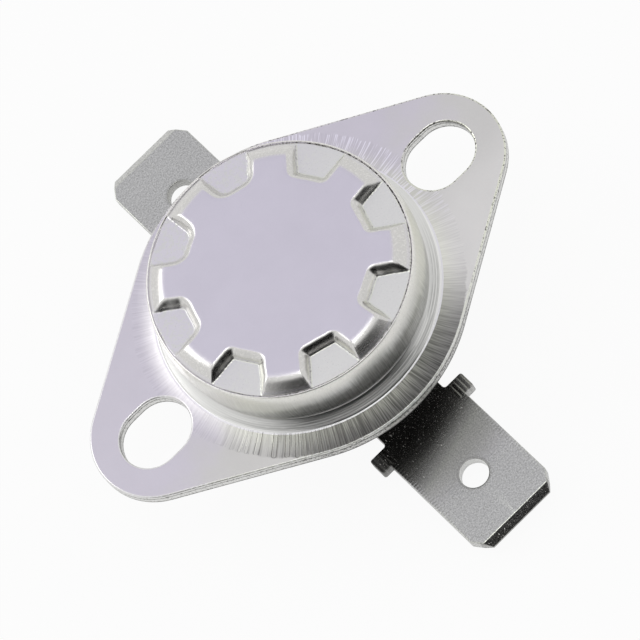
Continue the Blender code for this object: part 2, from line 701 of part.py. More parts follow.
def make_terminal(name, side, parts, cutters, finish):
    half = terminal_half_outline()
    outline = half + [(-x, y) for x, y in reversed(half)]
    outlines = [
        outline,
        circle((0, RIVET_OFFSET), RIVET_HOLE_RADIUS),
        circle((0, TAB_HOLE_Y), TAB_HOLE_RADIUS, 32),
    ]
    outlines = [[(x * side, y * side) for x, y in points] for points in outlines]
    terminal = flat_plate(name, outlines, TERMINAL_BOTTOM, TERMINAL_THICKNESS, parts)
    slope = TAB_BEVEL_DEPTH / TAB_BEVEL_LENGTH
    reach = TAB_HALF_WIDTH + OVERRUN
    over = OVERRUN * 0.3
    for face, out in ((TERMINAL_TOP, 1), (TERMINAL_BOTTOM, -1)):
        corners = [
            (TAB_TIP_Y - TAB_BEVEL_LENGTH - over, face + out * slope * over),
            (TAB_TIP_Y + over, face - out * slope * (TAB_BEVEL_LENGTH + over)),
            (TAB_TIP_Y + over, face + out * slope * over),
        ]
        wedge = bmesh.new()
        end = wedge.faces.new([wedge.verts.new((-reach, y * side, z)) for y, z in corners])
        grown = bmesh.ops.extrude_face_region(wedge, geom=[end])["geom"]
        moved = [item for item in grown if isinstance(item, bmesh.types.BMVert)]
        bmesh.ops.translate(wedge, verts=moved, vec=(2 * reach, 0, 0))
        boolean(terminal, mesh_object("tip_bevel", wedge, cutters), "DIFFERENCE")
    return bake(terminal, finish)


def rivet_profile(grip_top):
    """Back head, shank and the set head, which has a shallow bore."""
    back = TERMINAL_BOTTOM - CONTACT_SEAT_GAP
    low = back - RIVET_BACK_HEAD_HEIGHT
    head = grip_top + CONTACT_SEAT_GAP
    top = head + RIVET_HEAD_HEIGHT
    return [
        (0, top - RIVET_BORE_DEPTH),
        (RIVET_BORE_RADIUS, top - RIVET_BORE_DEPTH + RIVET_BORE_CHAMFER),
        (RIVET_BORE_RADIUS, top - RIVET_BORE_CHAMFER),
        (RIVET_BORE_RADIUS + RIVET_HEAD_CHAMFER, top),
        (RIVET_HEAD_RADIUS - RIVET_HEAD_CHAMFER, top),
        (RIVET_HEAD_RADIUS, top - RIVET_HEAD_HEIGHT / 2),
        (RIVET_HEAD_RADIUS, head),
        (RIVET_SHANK_RADIUS, head),
        (RIVET_SHANK_RADIUS, back),
        (RIVET_BACK_HEAD_RADIUS, back),
        (RIVET_BACK_HEAD_RADIUS, back - RIVET_BACK_HEAD_HEIGHT * 0.35),
        (RIVET_BACK_HEAD_RADIUS * 0.82, low + RIVET_BACK_HEAD_HEIGHT * 0.22),
        (RIVET_BACK_HEAD_RADIUS * 0.5, low),
        (0, low),
    ]


def make_rivet(name, y, grip_top, parts, finish):
    rivet = turned(name, rivet_profile(grip_top), parts, SMALL_STEPS)
    rivet.location.y = y
    return bake(rivet, finish)


def make_washer(bottom, parts, finish):
    centre = (0, RIVET_OFFSET)
    outlines = [circle(centre, WASHER_RADIUS), circle(centre, RIVET_HOLE_RADIUS)]
    washer = flat_plate("arm_washer", outlines, bottom, WASHER_THICKNESS, parts)
    return bake(washer, finish)


def strap_outline(heel_y, heel_radius, tip_y, tip_radius):
    """A strap with two round ends of unlike radius, joined by tangent sides."""
    lean = degrees(asin((heel_radius - tip_radius) / abs(heel_y - tip_y)))
    if heel_y > tip_y:
        heel = arc((0, heel_y), heel_radius, -lean, 180 + lean, 14)
        tip = arc((0, tip_y), tip_radius, 180 + lean, 360 - lean, 14)
    else:
        heel = arc((0, heel_y), heel_radius, 180 - lean, 360 + lean, 14)
        tip = arc((0, tip_y), tip_radius, lean, 180 - lean, 14)
    return heel + tip


def make_contact_arm(holder, parts, finish):
    outlines = [
        strap_outline(RIVET_OFFSET, ARM_HEEL_RADIUS, -CONTACT_OFFSET, ARM_TIP_RADIUS),
        circle((0, RIVET_OFFSET), RIVET_HOLE_RADIUS),
        circle((0, -CONTACT_OFFSET), CONTACT_HOLE_RADIUS, 16),
    ]
    arm = flat_plate("contact_arm", outlines, ARM_BOTTOM, ARM_THICKNESS, parts)
    return hang_on(bake(arm, finish), holder)


def make_fixed_plate(parts, finish):
    outlines = [
        strap_outline(-RIVET_OFFSET, ARM_HEEL_RADIUS, -CONTACT_OFFSET, PLATE_TIP_RADIUS),
        circle((0, -RIVET_OFFSET), RIVET_HOLE_RADIUS),
        circle((0, -CONTACT_OFFSET), CONTACT_HOLE_RADIUS, 16),
    ]
    plate = flat_plate("fixed_contact_plate", outlines, PLATE_BOTTOM, PLATE_THICKNESS, parts)
    return bake(plate, finish)


def contact_profile(face, seat, far_side, direction):
    """A silver rivet contact: head, shank through the sheet, and its set tail."""
    tail = far_side - direction * CONTACT_SEAT_GAP
    end = tail - direction * CONTACT_TAIL_HEIGHT
    crown = direction * CONTACT_CROWN
    points = [
        (0, face),
        (CONTACT_RADIUS * 0.6, face - crown),
        (CONTACT_RADIUS, face - 4 * crown),
        (CONTACT_RADIUS, seat),
        (CONTACT_SHANK_RADIUS, seat),
        (CONTACT_SHANK_RADIUS, tail),
        (CONTACT_TAIL_RADIUS, tail),
        (CONTACT_TAIL_RADIUS - CONTACT_TAIL_CHAMFER, end),
        (0, end),
    ]
    return points if direction > 0 else list(reversed(points))


def make_contacts(holder, parts, finish):
    profile = contact_profile(MOVING_CONTACT_TOP, MOVING_CONTACT_BOTTOM, ARM_BOTTOM, 1)
    moving = turned("moving_contact", profile, parts, SMALL_STEPS)
    moving.location.y = -CONTACT_OFFSET
    bake(moving, finish)
    hang_on(moving, holder)
    profile = contact_profile(FIXED_CONTACT_BOTTOM, FIXED_CONTACT_TOP, PLATE_TOP, -1)
    fixed = turned("fixed_contact", profile, parts, SMALL_STEPS)
    fixed.location.y = -CONTACT_OFFSET
    bake(fixed, finish)


def main():
    clear_scene()
    parts = new_collection("bimetal_thermostat")
    cutters = new_collection("cutters")
    aluminium = principled("cap_aluminium", (0.72, 0.71, 0.75), 0.42, 1.0)
    bimetal = principled("bimetal", (0.52, 0.50, 0.47), 0.35, 1.0)
    phenolic = principled("base_phenolic", (0.03, 0.03, 0.032), 0.55, 0.0)
    ceramic = principled("pin_ceramic", (0.82, 0.80, 0.76), 0.5, 0.0)
    tinned = principled("terminal_tinned", (0.60, 0.60, 0.60), 0.32, 1.0)
    brass = principled("rivet_brass", (0.72, 0.55, 0.30), 0.35, 1.0)
    copper = principled("arm_copper", (0.72, 0.45, 0.32), 0.32, 1.0)
    silver = principled("contact_silver", (0.84, 0.83, 0.80), 0.28, 1.0)

    make_cap(parts, cutters, aluminium)
    make_disc(parts, bimetal)
    make_guide_plate(parts, phenolic)
    make_pin(parts, ceramic)
    make_base(parts, cutters, phenolic)
    make_terminal("arm_side_terminal", 1, parts, cutters, tinned)
    make_terminal("fixed_side_terminal", -1, parts, cutters, tinned)
    washer_bottom = ARM_TOP + CONTACT_SEAT_GAP
    make_washer(washer_bottom, parts, brass)
    make_rivet("arm_side_rivet", RIVET_OFFSET, washer_bottom + WASHER_THICKNESS, parts, brass)
    make_rivet("fixed_side_rivet", -RIVET_OFFSET, PLATE_TOP, parts, brass)

    hinge = new_object("arm_hinge", None, parts)
    hinge.empty_display_size = 0.002
    hinge.location = (0, ARM_HINGE_Y, (ARM_BOTTOM + ARM_TOP) / 2)
    make_contact_arm(hinge, parts, copper)
    make_contacts(hinge, parts, silver)
    make_fixed_plate(parts, brass)


main()
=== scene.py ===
"""Looks of a snap-disc bimetal thermostat: drawn cap, coined terminals, moulded base and the inner pieces.

Run as a script in Blender. Everything is in metres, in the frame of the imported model: +Z out of the
sensing face, +X through the two fixing slots, +Y along the terminal that feeds the spring arm.
"""

from math import asin, atan2, cos, degrees, hypot, pi, radians, sin, tan

import bmesh
import bpy
from bpy.props import FloatProperty, FloatVectorProperty, IntProperty, PointerProperty
from bpy.types import Operator, Panel, PropertyGroup
from mathutils import Euler, Matrix, Vector, noise


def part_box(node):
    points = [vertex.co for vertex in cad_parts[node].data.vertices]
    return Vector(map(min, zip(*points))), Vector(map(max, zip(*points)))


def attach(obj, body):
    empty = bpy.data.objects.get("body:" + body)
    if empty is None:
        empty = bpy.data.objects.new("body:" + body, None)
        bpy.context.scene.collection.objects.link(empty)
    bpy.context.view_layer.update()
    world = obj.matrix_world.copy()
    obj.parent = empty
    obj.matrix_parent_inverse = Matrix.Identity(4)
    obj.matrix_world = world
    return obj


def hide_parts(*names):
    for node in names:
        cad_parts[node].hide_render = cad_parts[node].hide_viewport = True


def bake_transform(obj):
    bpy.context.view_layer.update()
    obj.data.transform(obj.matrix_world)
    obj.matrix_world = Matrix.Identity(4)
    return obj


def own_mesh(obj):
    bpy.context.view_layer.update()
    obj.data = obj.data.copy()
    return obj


bl_info = {
    "name": "Bimetal Thermostat Looks",
    "version": (1, 0, 0),
    "blender": (4, 5, 0),
    "location": "View3D > Sidebar > Thermostat",
    "description": "Models and finishes the visible pieces of a snap-disc thermostat",
    "category": "Add Mesh",
}

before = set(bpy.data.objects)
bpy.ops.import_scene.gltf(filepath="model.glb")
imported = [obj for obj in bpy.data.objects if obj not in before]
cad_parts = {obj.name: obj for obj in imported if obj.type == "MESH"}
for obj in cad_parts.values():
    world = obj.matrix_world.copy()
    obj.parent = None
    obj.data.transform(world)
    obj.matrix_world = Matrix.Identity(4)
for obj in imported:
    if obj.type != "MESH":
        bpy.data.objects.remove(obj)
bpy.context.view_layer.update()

CAP_LOW, CAP_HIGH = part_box("cap")
TAB_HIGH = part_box("arm_side_terminal")[1]
DISC_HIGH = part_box("bimetal_disc")[1]
ARM_LOW, ARM_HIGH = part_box("contact_arm")

MM = 1000.0
MICRON = 1e-6
SOFT_ANGLE = 32
Y_AXIS = Vector((0, 1, 0))
Z_AXIS = Vector((0, 0, 1))


def length(name, description, default):
    return FloatProperty(name=name, description=description, default=default, precision=6, unit="LENGTH")


def angle(name, description, default):
    """The default is in degrees."""
    return FloatProperty(name=name, description=description, default=radians(default), subtype="ANGLE")


def number(name, description, default):
    return FloatProperty(name=name, description=description, default=default)


def count(name, description, default):
    return IntProperty(name=name, description=description, default=default)


def colour(name, description, default):
    return FloatVectorProperty(name=name, description=description, default=default, subtype="COLOR", size=3)


def vector(name, description, default, subtype="XYZ"):
    return FloatVectorProperty(name=name, description=description, default=default, subtype=subtype)


class CapSizes(PropertyGroup):
    wall_radius: length("Cup radius", "Outer radius of the cup's wall", 0.00825)
    sheet: length("Sheet", "Thickness of the cup's wall and face", 0.0006)
    flange_thickness: length("Flange thickness", "Thickness of the flange", 0.0008)
    plateau_radius: length("Plateau radius", "Where the flat sensing face starts to fall", 0.00685)
    plateau_roll: length("Plateau edge", "Radius of the sensing face's edge", 0.0011)
    slope: angle("Slope", "Angle of the fall from the face to the rim", 35)
    pocket_depth: length("Pocket depth", "Depth of the pressed pockets", 0.0006)
    pocket_count: count("Pockets", "How many pockets are pressed", 8)
    pocket_turn: angle("Pocket turn", "Angle of the first pocket from +X", 28.8)
    pocket_reach: length("Pocket reach", "Radius of a pocket floor's inner edge", 0.00604)
    pocket_half_width: length("Pocket half width", "Half of a pocket floor's inner edge", 0.00085)
    pocket_flare: angle("Pocket flare", "Angle of a pocket's sides", 22.8)
    pocket_chord: length("Pocket chord", "Distance of a pocket floor's outer edge", 0.0080)
    pocket_corner: length("Pocket corner", "Corner radius of a pocket's floor", 0.00012)
    worn_corner: length("Worn corner", "Corner radius where the punch is worn", 0.00065)
    worn_side: angle("Worn side", "Bearing of the pockets that the worn side pressed", 110)
    pocket_wall: angle("Pocket wall", "Steepness of the pockets' walls", 64)
    pocket_roll: length("Pocket edge", "Reach of the rounding of a pocket's edge", 0.0006)
    wobble: length("Wobble", "How far the pressed edges stray from their outline", 0.00003)
    wobble_rate: number("Wobble rate", "How often in a metre they stray", 1400)
    rim_edge: length("Rim edge", "Radius of the rim's upper edge", 0.0082)
    rim_radius: length("Rim radius", "Outer radius of the bulged rim", 0.0084)
    rim_roll: length("Rim roll", "Radius of the rim's edge", 0.00008)
    rim_rise: length("Rim rise", "Height of the rim above the pockets' floors", 0.00006)
    rim_taper: length("Rim taper", "Height from the rim's edge down to its widest point", 0.0017)
    crease: length("Crease", "Half width of the line pressed inside the rim", 0.00005)
    crack_depth: length("Crack depth", "Depth of the line pressed inside the rim", 0.00006)
    bulge_end: length("Bulge end", "Height above the lip where the rim's bulge has run out", 0.0002)
    lip_step: length("Lip step", "Depth of the step below the wall's lower lip", 0.00006)
    lip_round: length("Lip round", "Rounding of the lip", 0.00003)
    lip_height: length("Lip height", "Height of the wall's lower lip above the flange", 0.0008)
    neck_radius: length("Neck radius", "Middle radius of the rolled neck's inside", 0.00832)
    neck_height: length("Neck height", "Height of the neck above the flange", 0.00075)
    neck_roll: length("Neck roll", "Radius of the neck's inside", 0.00086)
    crest_radius: length("Crest radius", "Radius of the raised ring around the neck", 0.00897)
    crest_height: length("Crest height", "Height of that ring above the flange", 0.00016)
    ring_radius: length("Ring radius", "Where the drawn ring meets the flat flange", 0.0102)
    ring_edge: length("Ring edge", "Where the marks of the drawing ring end", 0.01042)
    join_radius: length("Join radius", "Where the turned cup is joined to the flange's sheet", 0.00925)
    end_radius: length("Flange end", "Radius of the flange's two ends", 0.00425)
    waist_radius: length("Flange waist", "Radius of the flange beside the cup", 0.01047)
    slot_pitch: length("Slot pitch", "Distance between the slots' centres", 0.0238)
    slot_width: length("Slot width", "Width of a slot", 0.00384)
    slot_length: length("Slot length", "Length of a slot", 0.0047)
    foot: length("Foot", "Fillet between a pocket's floor and its walls", 0.00005)
    outer_fall: angle("Outer fall", "Fall of a pocket's floor past its outer edge", 40)
    edge_band: length("Edge band", "Width of the band along the flange's edges", 0.00013)
    edge_roll: length("Edge roll", "Burnished upper edge of the punched flange", 0.00012)
    burr: length("Burr", "Rounding of the flange's lower edge", 0.00003)
    fine_start: length("Fine start", "Radius past which the face is divided finely", 0.005)
    fine_step: length("Fine step", "Distance between the rings of the divided face", 0.00012)
    steps: count("Steps", "Steps of the turned surfaces", 256)


class TerminalSizes(PropertyGroup):
    thickness: length("Thickness", "Thickness of the tabs", 0.0008)
    tab_half_width: length("Tab half width", "Half width of the push-on tab", 0.00315)
    tip_half_width: length("Tip half width", "Half width of the tab's chamfered tip", 0.00235)
    tip_chamfer: length("Tip chamfer", "Length of the chamfers at the tip's corners", 0.00115)
    bevel_length: length("Tip bevel length", "Length of the tip's bevels", 0.0005)
    bevel_depth: length("Tip bevel depth", "Depth of the tip's bevels", 0.00032)
    hole_radius: length("Hole radius", "Radius of the tab's hole", 0.000916)
    hole_from_tip: length("Hole from tip", "Distance of the hole from the tip", 0.00416)
    wing_half_width: length("Wing half width", "Half width across the stop wings", 0.00385)
    wing_inner: length("Wing inner edge", "Distance of the wings' inner edge from the axis", 0.0084)
    wing_outer: length("Wing outer edge", "Distance of the wings' outer edge from the axis", 0.0096)
    wing_corner: length("Wing corner", "Radius of the wings' corners", 0.00015)
    neck_half_width: length("Neck half width", "Half width of the part in the base", 0.00248)
    neck_fillet: length("Neck fillet", "Fillet between the neck and the wings", 0.0002)
    tail: length("Tail", "Distance of the inner end from the axis", 0.0021)
    tail_chamfer: length("Tail chamfer", "Chamfer of the inner end's corners", 0.0003)
    edge_band: length("Edge band", "Width of the band along the edges", 0.00008)
    edge_roll: length("Edge roll", "Rounding of the punched edges", 0.00004)


class InnerSizes(PropertyGroup):
    disc_thickness: length("Disc thickness", "Thickness of the bimetal disc", 0.0002)
    disc_crown: length("Disc crown", "Rise of the disc's middle above its rim", 0.00025)
    disc_keep: number("Disc keep", "Share of the dome left after the snap", 0.05)
    snap: length("Snap", "Travel of the disc's middle", 0.0005)
    heel_radius: length("Heel radius", "Radius of the arm's riveted end", 0.0016)
    tip_radius: length("Tip radius", "Radius of the arm's contact end", 0.0009)
    contact_offset: length("Contact offset", "Distance of the contacts from the axis", 0.00195)
    rivet_offset: length("Rivet offset", "Distance of the rivets from the axis", 0.0045)
    rivet_hole: length("Rivet hole", "Radius of the rivets' holes", 0.0010)
    bend_start: length("Bend start", "Where the arm starts to bend", 0.0036)
    bend_end: length("Bend end", "Where the arm is straight again", 0.0015)
    bend_cuts: count("Bend cuts", "Cuts across the arm where it bends", 24)
    arm_band: length("Arm band", "Width of the band along the arm's edges", 0.00006)
    arm_roll: length("Arm roll", "Rounding of the arm's edges", 0.00002)
    disc_steps: count("Disc steps", "Steps of the turned disc", 96)


class Finishes(PropertyGroup):
    face: colour("Sensing face", "Matte aluminium of the sensing face", (0.765, 0.75, 0.768))
    sheet: colour("Flange", "Aluminium sheet of the flange", (0.78, 0.79, 0.69))
    # Painted reflection: the tint of the flange towards +Y.
    reflected_tint: colour("Stained flange", "Flange where the lubricant dried", (0.76, 0.742, 0.745))
    rim: colour("Rolled aluminium", "Burnished aluminium of rolled and pressed edges", (0.84, 0.83, 0.79))
    floor: colour("Pocket floors", "Aluminium struck by the press", (0.80, 0.815, 0.74))
    drawn: colour("Drawn aluminium", "Aluminium of the wall and the neck", (0.86, 0.86, 0.84))
    # Painted glints: the bright streaks on the drawn ring towards +X and +Y.
    burnished: colour("Burnished streaks", "Bright streaks of the drawing ring", (1.0, 0.99, 1.0))
    # Painted highlight: the near-white line along the crest.
    crest: colour("Crest", "Rubbed crest of the ring", (1.0, 1.0, 0.98))
    # Painted highlight: the white of the rolled edge and of the crest.
    worn: colour("Worn edges", "Edges worn bright", (1.0, 1.0, 1.0))
    # Dark lubricant and painted shade share this colour.
    grime_and_shade: colour("Grime", "Dark lubricant left in lines and pits", (0.09, 0.085, 0.08))
    terminal: colour("Terminals", "Nickel-plated brass of the terminals", (0.59, 0.61, 0.53))
    terminal_dull: colour("Dull terminals", "Plating where it is dull or dark", (0.6, 0.6, 0.585))
    hole_wall: colour("Hole wall", "Freshly sheared wall of the tab's hole", (0.97, 0.97, 0.96))
    moulding: colour("Moulding", "Dark phenolic moulding compound", (0.018, 0.017, 0.016))
    filler: colour("Filler", "Mineral filler that shows in the moulding", (0.07, 0.065, 0.06))
    bimetal_warm: colour("Bimetal, warm side", "High-expansion side of the disc", (0.45, 0.38, 0.30))
    bimetal_cool: colour("Bimetal, cool side", "Low-expansion side of the disc", (0.40, 0.41, 0.43))
    ceramic: colour("Ceramic", "White steatite of the pin", (0.78, 0.76, 0.70))
    brass: colour("Brass", "Brass of the rivets", (0.63, 0.46, 0.20))
    bronze: colour("Bronze", "Spring bronze of the arm", (0.66, 0.40, 0.23))
    silver: colour("Silver", "Silver of the contacts", (0.82, 0.81, 0.78))


class StageSizes(PropertyGroup):
    lens: FloatProperty(name="Lens", description="Focal length", default=241.82, unit="CAMERA")
    camera_place: vector("Camera", "Place of the camera", (-0.018375, -0.115027, 0.237897), "TRANSLATION")
    camera_turn: vector(
        "Camera turn",
        "Turn of the camera",
        (radians(21.86075), radians(15.23072), radians(-42.36739)),
        "EULER",
    )
    floor_size: length("Floor", "Length of the floor's sides", 3.0)
    floor_colour: colour("Floor colour", "Pale floor as the light meets it", (0.86, 0.86, 0.86))
    floor_seen: number("Floor seen", "Share of white that the camera sees", 0.93)
    floor_mirrored: number("Floor mirrored", "Share of white in reflections", 0.6)
    card_radius: length("Card distance", "Distance of the black card from the object", 0.36)
    card_rise: length("Card rise", "Height of the card's lower edge above the floor", 0.002)
    card_start: angle("Card start", "Bearing where the black card starts", -168)
    card_sweep: angle("Card sweep", "How far the black card reaches round", 114)
    card_top: angle("Card top", "Elevation of the black card's upper edge", 64)
    card_fade_start: angle("Card fade, start", "Soft edge at the card's start", 24)
    card_fade_end: angle("Card fade, end", "Soft edge at the card's end", 12)
    card_fade_top: angle("Card fade, top", "Soft edge at the card's top", 14)
    card_colour: colour("Card colour", "Black of the card", (0.004, 0.004, 0.004))
    panel_colour: colour("Panel", "Pale panel that the flat faces mirror", (0.66, 0.635, 0.755))
    panel_distance: length("Panel distance", "Distance of the panel from the object", 0.5)
    panel_reach: angle("Panel reach", "Half of the panel's angle seen from the object", 27)
    panel_solid: number("Panel solid", "Share of the panel that isn't faded", 0.65)
    panel_way: vector("Panel way", "Where the panel is", (0.069, 0.434, 0.898))
    box_way: vector("Softbox way", "Where the softbox is", (-0.02, -0.05, 1))
    box_distance: length("Softbox distance", "Distance of the softbox from the object", 0.45)
    box_size: length("Softbox size", "Width of the softbox", 0.13)
    box_strength: number("Softbox", "Brightness of the overhead softbox", 2.8)
    key_way: vector("Key way", "Where the key light is", (-0.6, 0.8, 0.9))
    key_distance: length("Key distance", "Distance of the key light from the object", 0.8)
    key_size: length("Key size", "Width of the key light", 0.5)
    key_strength: number("Key", "Brightness of the key light", 1.6)
    world_level: number("World", "Brightness of the world as light", 0.75)


class Pen:
    """Draws a line of edges with operators: straight runs and arcs about an axis."""

    def __init__(self, shape, start):
        self.shape = shape
        self.tip = bmesh.ops.create_vert(shape, co=start)["vert"][0]
        self.first = self.tip

    def line(self, *points):
        for point in points:
            made = bmesh.ops.extrude_vert_indiv(self.shape, verts=[self.tip])
            self.tip = made["verts"][0]
            self.tip.co = point

    def arc(self, centre, sweep, steps, axis=Z_AXIS):
        """An arc about the centre; the sweep is in degrees."""
        made = bmesh.ops.spin(
            self.shape, geom=[self.tip], cent=centre, axis=axis, angle=radians(sweep), steps=steps
        )
        self.tip = verts_of(made["geom_last"])[0]

    def curve(self, control, end, steps):
        """A smooth curve to the end that leaves and arrives along lines through the control point."""
        start = self.tip.co.copy()
        control = Vector(control)
        end = Vector(end)
        for index in range(1, steps + 1):
            share = index / steps
            self.line(start * (1 - share) ** 2 + control * 2 * share * (1 - share) + end * share**2)

    def close(self):
        """Joins the end to the start."""
        if (self.tip.co - self.first.co).length < MICRON:
            bmesh.ops.weld_verts(self.shape, targetmap={self.tip: self.first})
        else:
            self.shape.edges.new((self.tip, self.first))


def draw_circle(shape, centre, radius, steps):
    bmesh.ops.create_circle(shape, segments=steps, radius=radius, matrix=Matrix.Translation(centre))


def verts_of(items):
    return [item for item in items if isinstance(item, bmesh.types.BMVert)]


def turn_about_z(shape, steps):
    """Spins all edges once round Z, and closes the seam and the poles."""
    bmesh.ops.spin(
        shape,
        geom=shape.verts[:] + shape.edges[:],
        cent=(0, 0, 0),
        axis=Z_AXIS,
        angle=2 * pi,
        steps=steps,
        use_merge=True,
    )
    bmesh.ops.remove_doubles(shape, verts=shape.verts, dist=MICRON)


def round_edges(shape, edges, width, segments):
    bmesh.ops.bevel(
        shape,
        geom=edges,
        offset=width,
        offset_type="OFFSET",
        affect="EDGES",
        segments=segments,
        profile=0.5,
        material=-1,
        clamp_overlap=True,
    )


def sharp_edges(shape, least):
    """Edges between two faces that meet at more than the least angle, in degrees."""
    joined = [edge for edge in shape.edges if len(edge.link_faces) == 2]
    return [edge for edge in joined if edge.calc_face_angle(0) > radians(least)]


def edges_at(edges, height):
    """Those of the edges that lie at the height."""
    return [edge for edge in edges if all(abs(vert.co.z - height) < MICRON for vert in edge.verts)]


def fill_plate(shape, thickness, margin, fine_radius=0, fine_size=0.0002):
    """Fills the outlines, adds a narrow band along every edge and gives the sheet its thickness.

    Inside the fine radius the sheet is divided down to the fine size. The band comes first and stays
    undivided, because an inset of fine faces would fold them.
    """
    bmesh.ops.triangle_fill(shape, edges=shape.edges, use_beauty=True, normal=Z_AXIS)
    made = bmesh.ops.inset_region(
        shape, faces=shape.faces, thickness=margin, use_boundary=True, use_even_offset=True
    )
    band = {edge for face in made["faces"] for edge in face.edges}
    for _ in range(4):
        coarse = [
            edge
            for edge in shape.edges
            if edge not in band
            and edge.calc_length() > fine_size
            and min(hypot(*vert.co.xy) for vert in edge.verts) < fine_radius
        ]
        bmesh.ops.subdivide_edges(shape, edges=coarse, cuts=1)
        bmesh.ops.triangulate(shape, faces=[face for face in shape.faces if not band.issuperset(face.edges)])
        inner = [face for face in shape.faces if not band.issuperset(face.edges)]
        bmesh.ops.beautify_fill(shape, faces=inner, edges=[edge for edge in shape.edges if edge not in band])
    made = bmesh.ops.extrude_face_region(shape, geom=shape.faces[:])["geom"]
    bmesh.ops.translate(shape, verts=verts_of(made), vec=(0, 0, -thickness))
    bmesh.ops.recalc_face_normals(shape, faces=shape.faces)
    shape.normal_update()


def finish_piece(name, shape, paint, body, node, sharp=35):
    """Makes an object of a bmesh, smooth up to the sharp angle, that takes the CAD node's place."""
    mesh = bpy.data.meshes.new(name)
    shape.to_mesh(mesh)
    shape.free()
    mesh.shade_smooth()
    mesh.set_sharp_from_angle(angle=radians(sharp))
    mesh.materials.append(paint)
    piece = bpy.data.objects.new(name, mesh)
    bpy.context.scene.collection.objects.link(piece)
    if body:
        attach(piece, body)
    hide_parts(node)
    return piece


class Socket:
    """A shader value; Python's operators on it add Math nodes."""

    def __init__(self, tree, socket):
        self.tree = tree
        self.socket = socket

    def output(self, name):
        """Another output of the same node."""
        return Socket(self.tree, self.socket.node.outputs[name])

    def math(self, operation, first, second=0.0):
        return self.tree.node("ShaderNodeMath", {"operation": operation}, {0: first, 1: second})

    def __add__(self, other):
        return self.math("ADD", self, other)

    def __radd__(self, other):
        return self.math("ADD", other, self)

    def __sub__(self, other):
        return self.math("SUBTRACT", self, other)

    def __rsub__(self, other):
        return self.math("SUBTRACT", other, self)

    def __mul__(self, other):
        return self.math("MULTIPLY", self, other)

    def __rmul__(self, other):
        return self.math("MULTIPLY", other, self)

    def __truediv__(self, other):
        return self.math("DIVIDE", self, other)

    def __rtruediv__(self, other):
        return self.math("DIVIDE", other, self)

    def __pow__(self, other):
        return self.math("POWER", self, other)

    def __abs__(self):
        return self.math("ABSOLUTE", self)

    def at_least(self, other):
        return self.math("MAXIMUM", self, other)

    def at_most(self, other):
        return self.math("MINIMUM", self, other)

    def sine(self):
        return self.math("SINE", self)

    def fraction(self):
        return self.math("FRACT", self)

    def ramp(self, low, high):
        """0 at low and 1 at high, eased between them; high may be the smaller one."""
        return self.tree.node(
            "ShaderNodeMapRange",
            {"interpolation_type": "SMOOTHSTEP"},
            {"Value": self, "From Min": low, "From Max": high},
        )

    def band(self, low, high, soft):
        """1 between low and high, and 0 outside them, with soft edges."""
        return self.ramp(low - soft, low + soft) * self.ramp(high + soft, high - soft)


class NodeTree:
    """A node tree, and the one way in which nodes are added to it."""

    def __init__(self, tree):
        self.tree = tree
        tree.nodes.clear()

    def node(self, kind, settings=None, sockets=None, output=0):
        """Adds a node, sets its settings and then its sockets, and returns one of its outputs."""
        node = self.tree.nodes.new(kind)
        for key, value in (settings or {}).items():
            setattr(node, key, value)
        for key, value in (sockets or {}).items():
            if isinstance(value, Socket):
                self.tree.links.new(value.socket, node.inputs[key])
            else:
                node.inputs[key].default_value = value
        return Socket(self, node.outputs[output]) if node.outputs else None


class Paint(NodeTree):
    """One material and its node tree, with positions in millimetres."""

    def __init__(self, name):
        self.material = bpy.data.materials.new(name)
        self.material.use_nodes = True
        super().__init__(self.material.node_tree)
        metres = self.node("ShaderNodeTexCoord", output="Object")
        self.place = self.node("ShaderNodeVectorMath", {"operation": "SCALE"}, {0: metres, "Scale": MM})
        self.x, self.y, self.z = self.parts(self.place)
        self.normal_z = self.parts(metres.output("Normal"))[2]
        self.radius = (self.x * self.x + self.y * self.y) ** 0.5

    def parts(self, place):
        """The three values of a vector."""
        x = self.node("ShaderNodeSeparateXYZ", None, {"Vector": place})
        return x, x.output("Y"), x.output("Z")

    def vector(self, x, y, z):
        return self.node("ShaderNodeCombineXYZ", None, {"X": x, "Y": y, "Z": z})

    def bearing(self):
        """Angle about Z from +X, in radians."""
        return self.x.math("ARCTAN2", self.y, self.x)

    def stretched(self, x=1.0, y=1.0, z=1.0):
        """Positions stretched along the axes with the small factors."""
        return self.node("ShaderNodeVectorMath", {"operation": "MULTIPLY"}, {0: self.place, 1: (x, y, z)})

    def around(self, turn, along):
        """A seamless vector for patterns around Z: bearing times turn, and any value along."""
        return self.vector(self.x / self.radius * turn, self.y / self.radius * turn, along)

    def noise(self, place, scale, detail=3.0, roughness=0.55, distortion=0.0):
        sockets = {"Vector": place, "Scale": scale, "Detail": detail}
        sockets.update({"Roughness": roughness, "Distortion": distortion})
        return self.node("ShaderNodeTexNoise", None, sockets)

    def mix(self, share, first, second):
        """From the first colour at 0 to the second at 1."""
        sockets = {0: share, 6: shade(first), 7: shade(second)}
        return self.node("ShaderNodeMix", {"data_type": "RGBA"}, sockets, output=2)

    def tinted(self, base, factor):
        """A colour made lighter or darker by a value around 1."""
        base = base if isinstance(base, Socket) else tuple(base[:3])
        return self.node("ShaderNodeVectorMath", {"operation": "SCALE"}, {0: base, "Scale": factor})

    def mix_surface(self, share, first, second):
        """Gives the material a mix of two shaders."""
        surface = self.node("ShaderNodeMixShader", None, {0: share, 1: first, 2: second})
        self.node("ShaderNodeOutputMaterial", None, {"Surface": surface})
        return self.material

    def close(self, base, roughness, metallic, height):
        """Joins the finish and its relief in millimetres to the surface, and gives the material."""
        bump = self.node("ShaderNodeBump", None, {"Height": height, "Strength": 1.0, "Distance": 1 / MM})
        sockets = {"Base Color": shade(base), "Roughness": roughness, "Metallic": metallic, "Normal": bump}
        surface = self.node("ShaderNodeBsdfPrincipled", None, sockets)
        self.node("ShaderNodeOutputMaterial", None, {"Surface": surface})
        return self.material


def shade(value):
    """A colour as a four-part socket value, or a link as it is."""
    return value if isinstance(value, Socket) else (*value[:3], 1.0)


